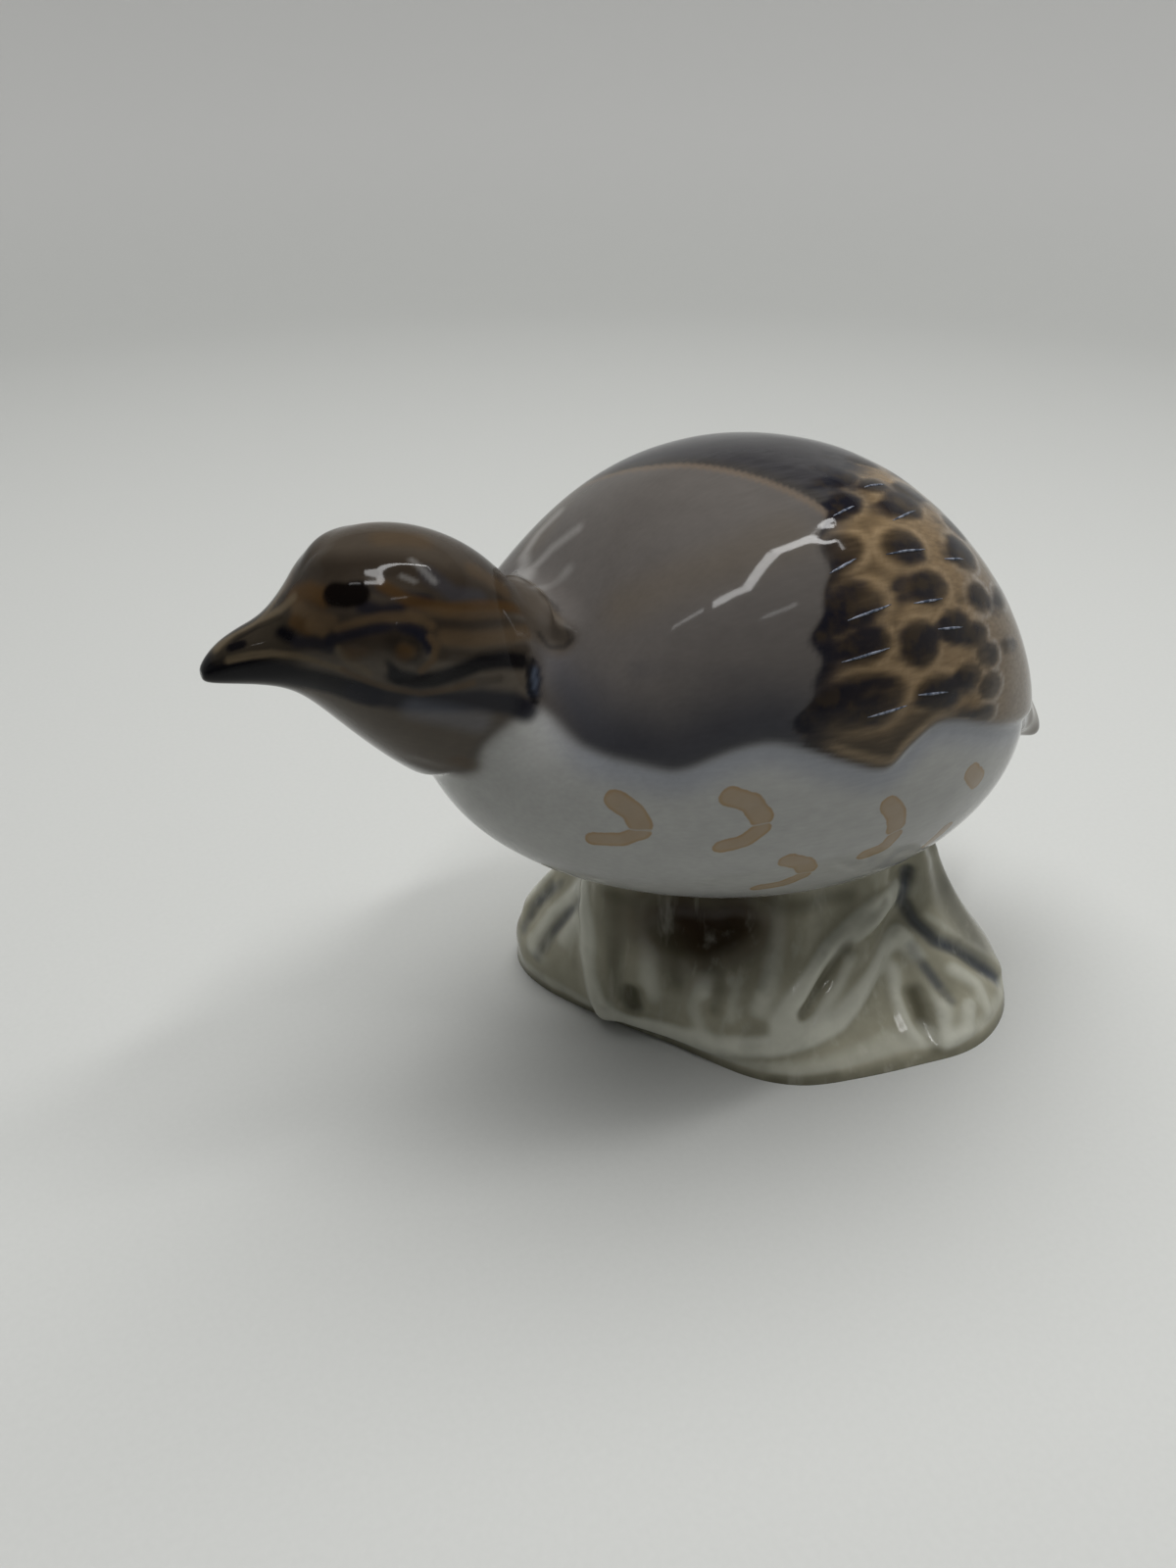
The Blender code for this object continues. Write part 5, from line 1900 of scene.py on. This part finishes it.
@dataclass(frozen=True)
class Studio:
    """Camera, lamps, pale floor and its sweep up to the backdrop."""

    azimuth: float = -27.0
    elevation: float = 31.0
    lens: float = 31.5
    sensor: float = 36.0
    camera: Point = (-111.5, -182.9, 178.2)
    clip: Span = (0.005, 20.0)
    # The broad lamp over the table, which doesn't show in the glaze
    overhead_place: Point = (45.0, 185.0, 840.0)
    overhead_target: Point = (10.0, 20.0, 0.0)
    overhead_size: Span = (850.0, 620.0)
    overhead_power: float = 7.2
    room_colour: tuple[float, float, float, float] = (0.95, 0.98, 1.0, 1.0)
    room_strength: float = 0.06
    strip_height: float = 600.0
    # Start, end, width and power of each narrow lamp that shows as a bright line in the glaze
    strips: tuple[tuple[Span, Span, float, float], ...] = (
        ((-343.0, -138.0), (-200.0, -205.0), 20.0, 0.06),
        ((-158.0, -216.0), (-40.0, -252.0), 34.0, 0.20),
        ((-46.0, -262.0), (96.0, -122.0), 52.0, 0.56),
        ((92.0, -120.0), (330.0, -84.0), 44.0, 0.68),
        ((338.0, -84.0), (376.0, -200.0), 18.0, 0.08),
        ((0.0, -500.0), (150.0, -470.0), 22.0, 0.05),
    )
    floor_radius: float = 620.0
    sweep: float = 260.0
    wall: float = 700.0
    floor_turns: int = 96

    def back(self) -> Vector:
        """The direction from the figurine towards the camera."""
        a, e = math.radians(self.azimuth), math.radians(self.elevation)
        return Vector((math.sin(a) * math.cos(e), -math.cos(a) * math.cos(e), math.sin(e)))

    def aim(self) -> None:
        """Places the camera as the photographer stood."""
        data = bpy.data.cameras.new("camera")
        data.lens = self.lens
        data.sensor_width = self.sensor
        data.clip_start, data.clip_end = self.clip
        camera = placed("camera", data)
        camera.location = Vector(self.camera) * MM
        camera.rotation_euler = self.back().to_track_quat("Z", "Y").to_euler()
        bpy.context.scene.camera = camera

    def sweep_up(self) -> bpy.types.Object:
        """The floor, which curves up into a wall all round.

        Returns:
            The floor.
        """
        profile = [(0.0, 0.0), (self.floor_radius * 0.5, 0.0), (self.floor_radius, 0.0)]
        for turn in np.linspace(0, math.pi / 2, 14)[1:]:
            out, up = math.sin(turn), 1 - math.cos(turn)
            profile.append((self.floor_radius + self.sweep * out, self.sweep * up))
        profile.append((self.floor_radius + self.sweep, self.wall))
        turns = self.floor_turns
        vertices = [
            (r * math.cos(k / turns * math.tau) * MM, r * math.sin(k / turns * math.tau) * MM, z * MM)
            for r, z in profile[1:]
            for k in range(turns)
        ]
        faces = [tuple(range(turns))]
        for ring in range(len(profile) - 2):
            for k in range(turns):
                here, after = ring * turns + k, ring * turns + (k + 1) % turns
                faces.append((here, here + turns, after + turns, after))
        mesh = bpy.data.meshes.new("floor")
        mesh.from_pydata(vertices, [], faces)
        mesh.shade_smooth()
        floor = placed("floor", mesh)
        floor.data.materials.append(PaperFinish("pale paper").build())
        return floor

    @staticmethod
    def hang(name: str, size: Span, power: float) -> bpy.types.Object:
        """Hangs one soft lamp.

        Args:
            name: Name of the lamp.
            size: Width and height in millimetres.
            power: Its power in watts.

        Returns:
            The lamp, still to be placed and turned.
        """
        data = bpy.data.lights.new(name, "AREA")
        data.shape = "RECTANGLE"
        data.size, data.size_y = size[0] * MM, size[1] * MM
        data.energy = power
        return placed(name, data)

    def light(self) -> None:
        """Hangs the lamps and sets the room's dim light."""
        overhead = self.hang("overhead", self.overhead_size, self.overhead_power)
        overhead.visible_glossy = False
        overhead.location = Vector(self.overhead_place) * MM
        ray = Vector(self.overhead_target) - Vector(self.overhead_place)
        overhead.rotation_euler = ray.to_track_quat("-Z", "Y").to_euler()
        for count, (start, end, width, power) in enumerate(self.strips):
            way = np.subtract(end, start)
            strip = self.hang(f"strip_{count}", (float(np.linalg.norm(way)), width), power)
            strip.location = Vector((*(np.add(start, end) / 2), self.strip_height)) * MM
            strip.rotation_euler = (0.0, 0.0, math.atan2(way[1], way[0]))
        world = bpy.data.worlds.new("room")
        world.use_nodes = True
        background = world.node_tree.nodes["Background"]
        background.inputs["Color"].default_value = self.room_colour
        background.inputs["Strength"].default_value = self.room_strength
        bpy.context.scene.world = world
        bpy.context.scene.view_settings.view_transform = "Standard"


def dress(piece: bpy.types.Object, material: bpy.types.Material) -> None:
    """Glazes a piece and ties it to the frame.

    Args:
        piece: The finished piece.
        material: Its finish.
    """
    piece.data.materials.append(material)
    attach(piece, BODY)
    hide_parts(FIGURINE)
    log.info("%s: %d faces", piece.name, len(piece.data.polygons))


def main() -> None:
    """Builds the figurine's surface, the lamps and the camera."""
    logging.basicConfig(level=logging.INFO, format="%(name)s: %(message)s")
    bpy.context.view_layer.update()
    studio = Studio()
    studio.aim()
    studio.light()
    studio.sweep_up()
    effects = SharedEffects()
    bird = Bird().build("bird")
    dress(bird, BirdGlaze("painted bird glaze").build(effects))
    mound = Mound().build("mound")
    dress(mound, MoundGlaze("green grey mound glaze", roughness=0.10, mottle=0.08).build(effects))
    shafts = FeatherShafts().build("feather_shafts", bird)
    dress(shafts, ShaftGlaze("pale shaft glaze").build(effects))


if __name__ == "__main__":
    main()
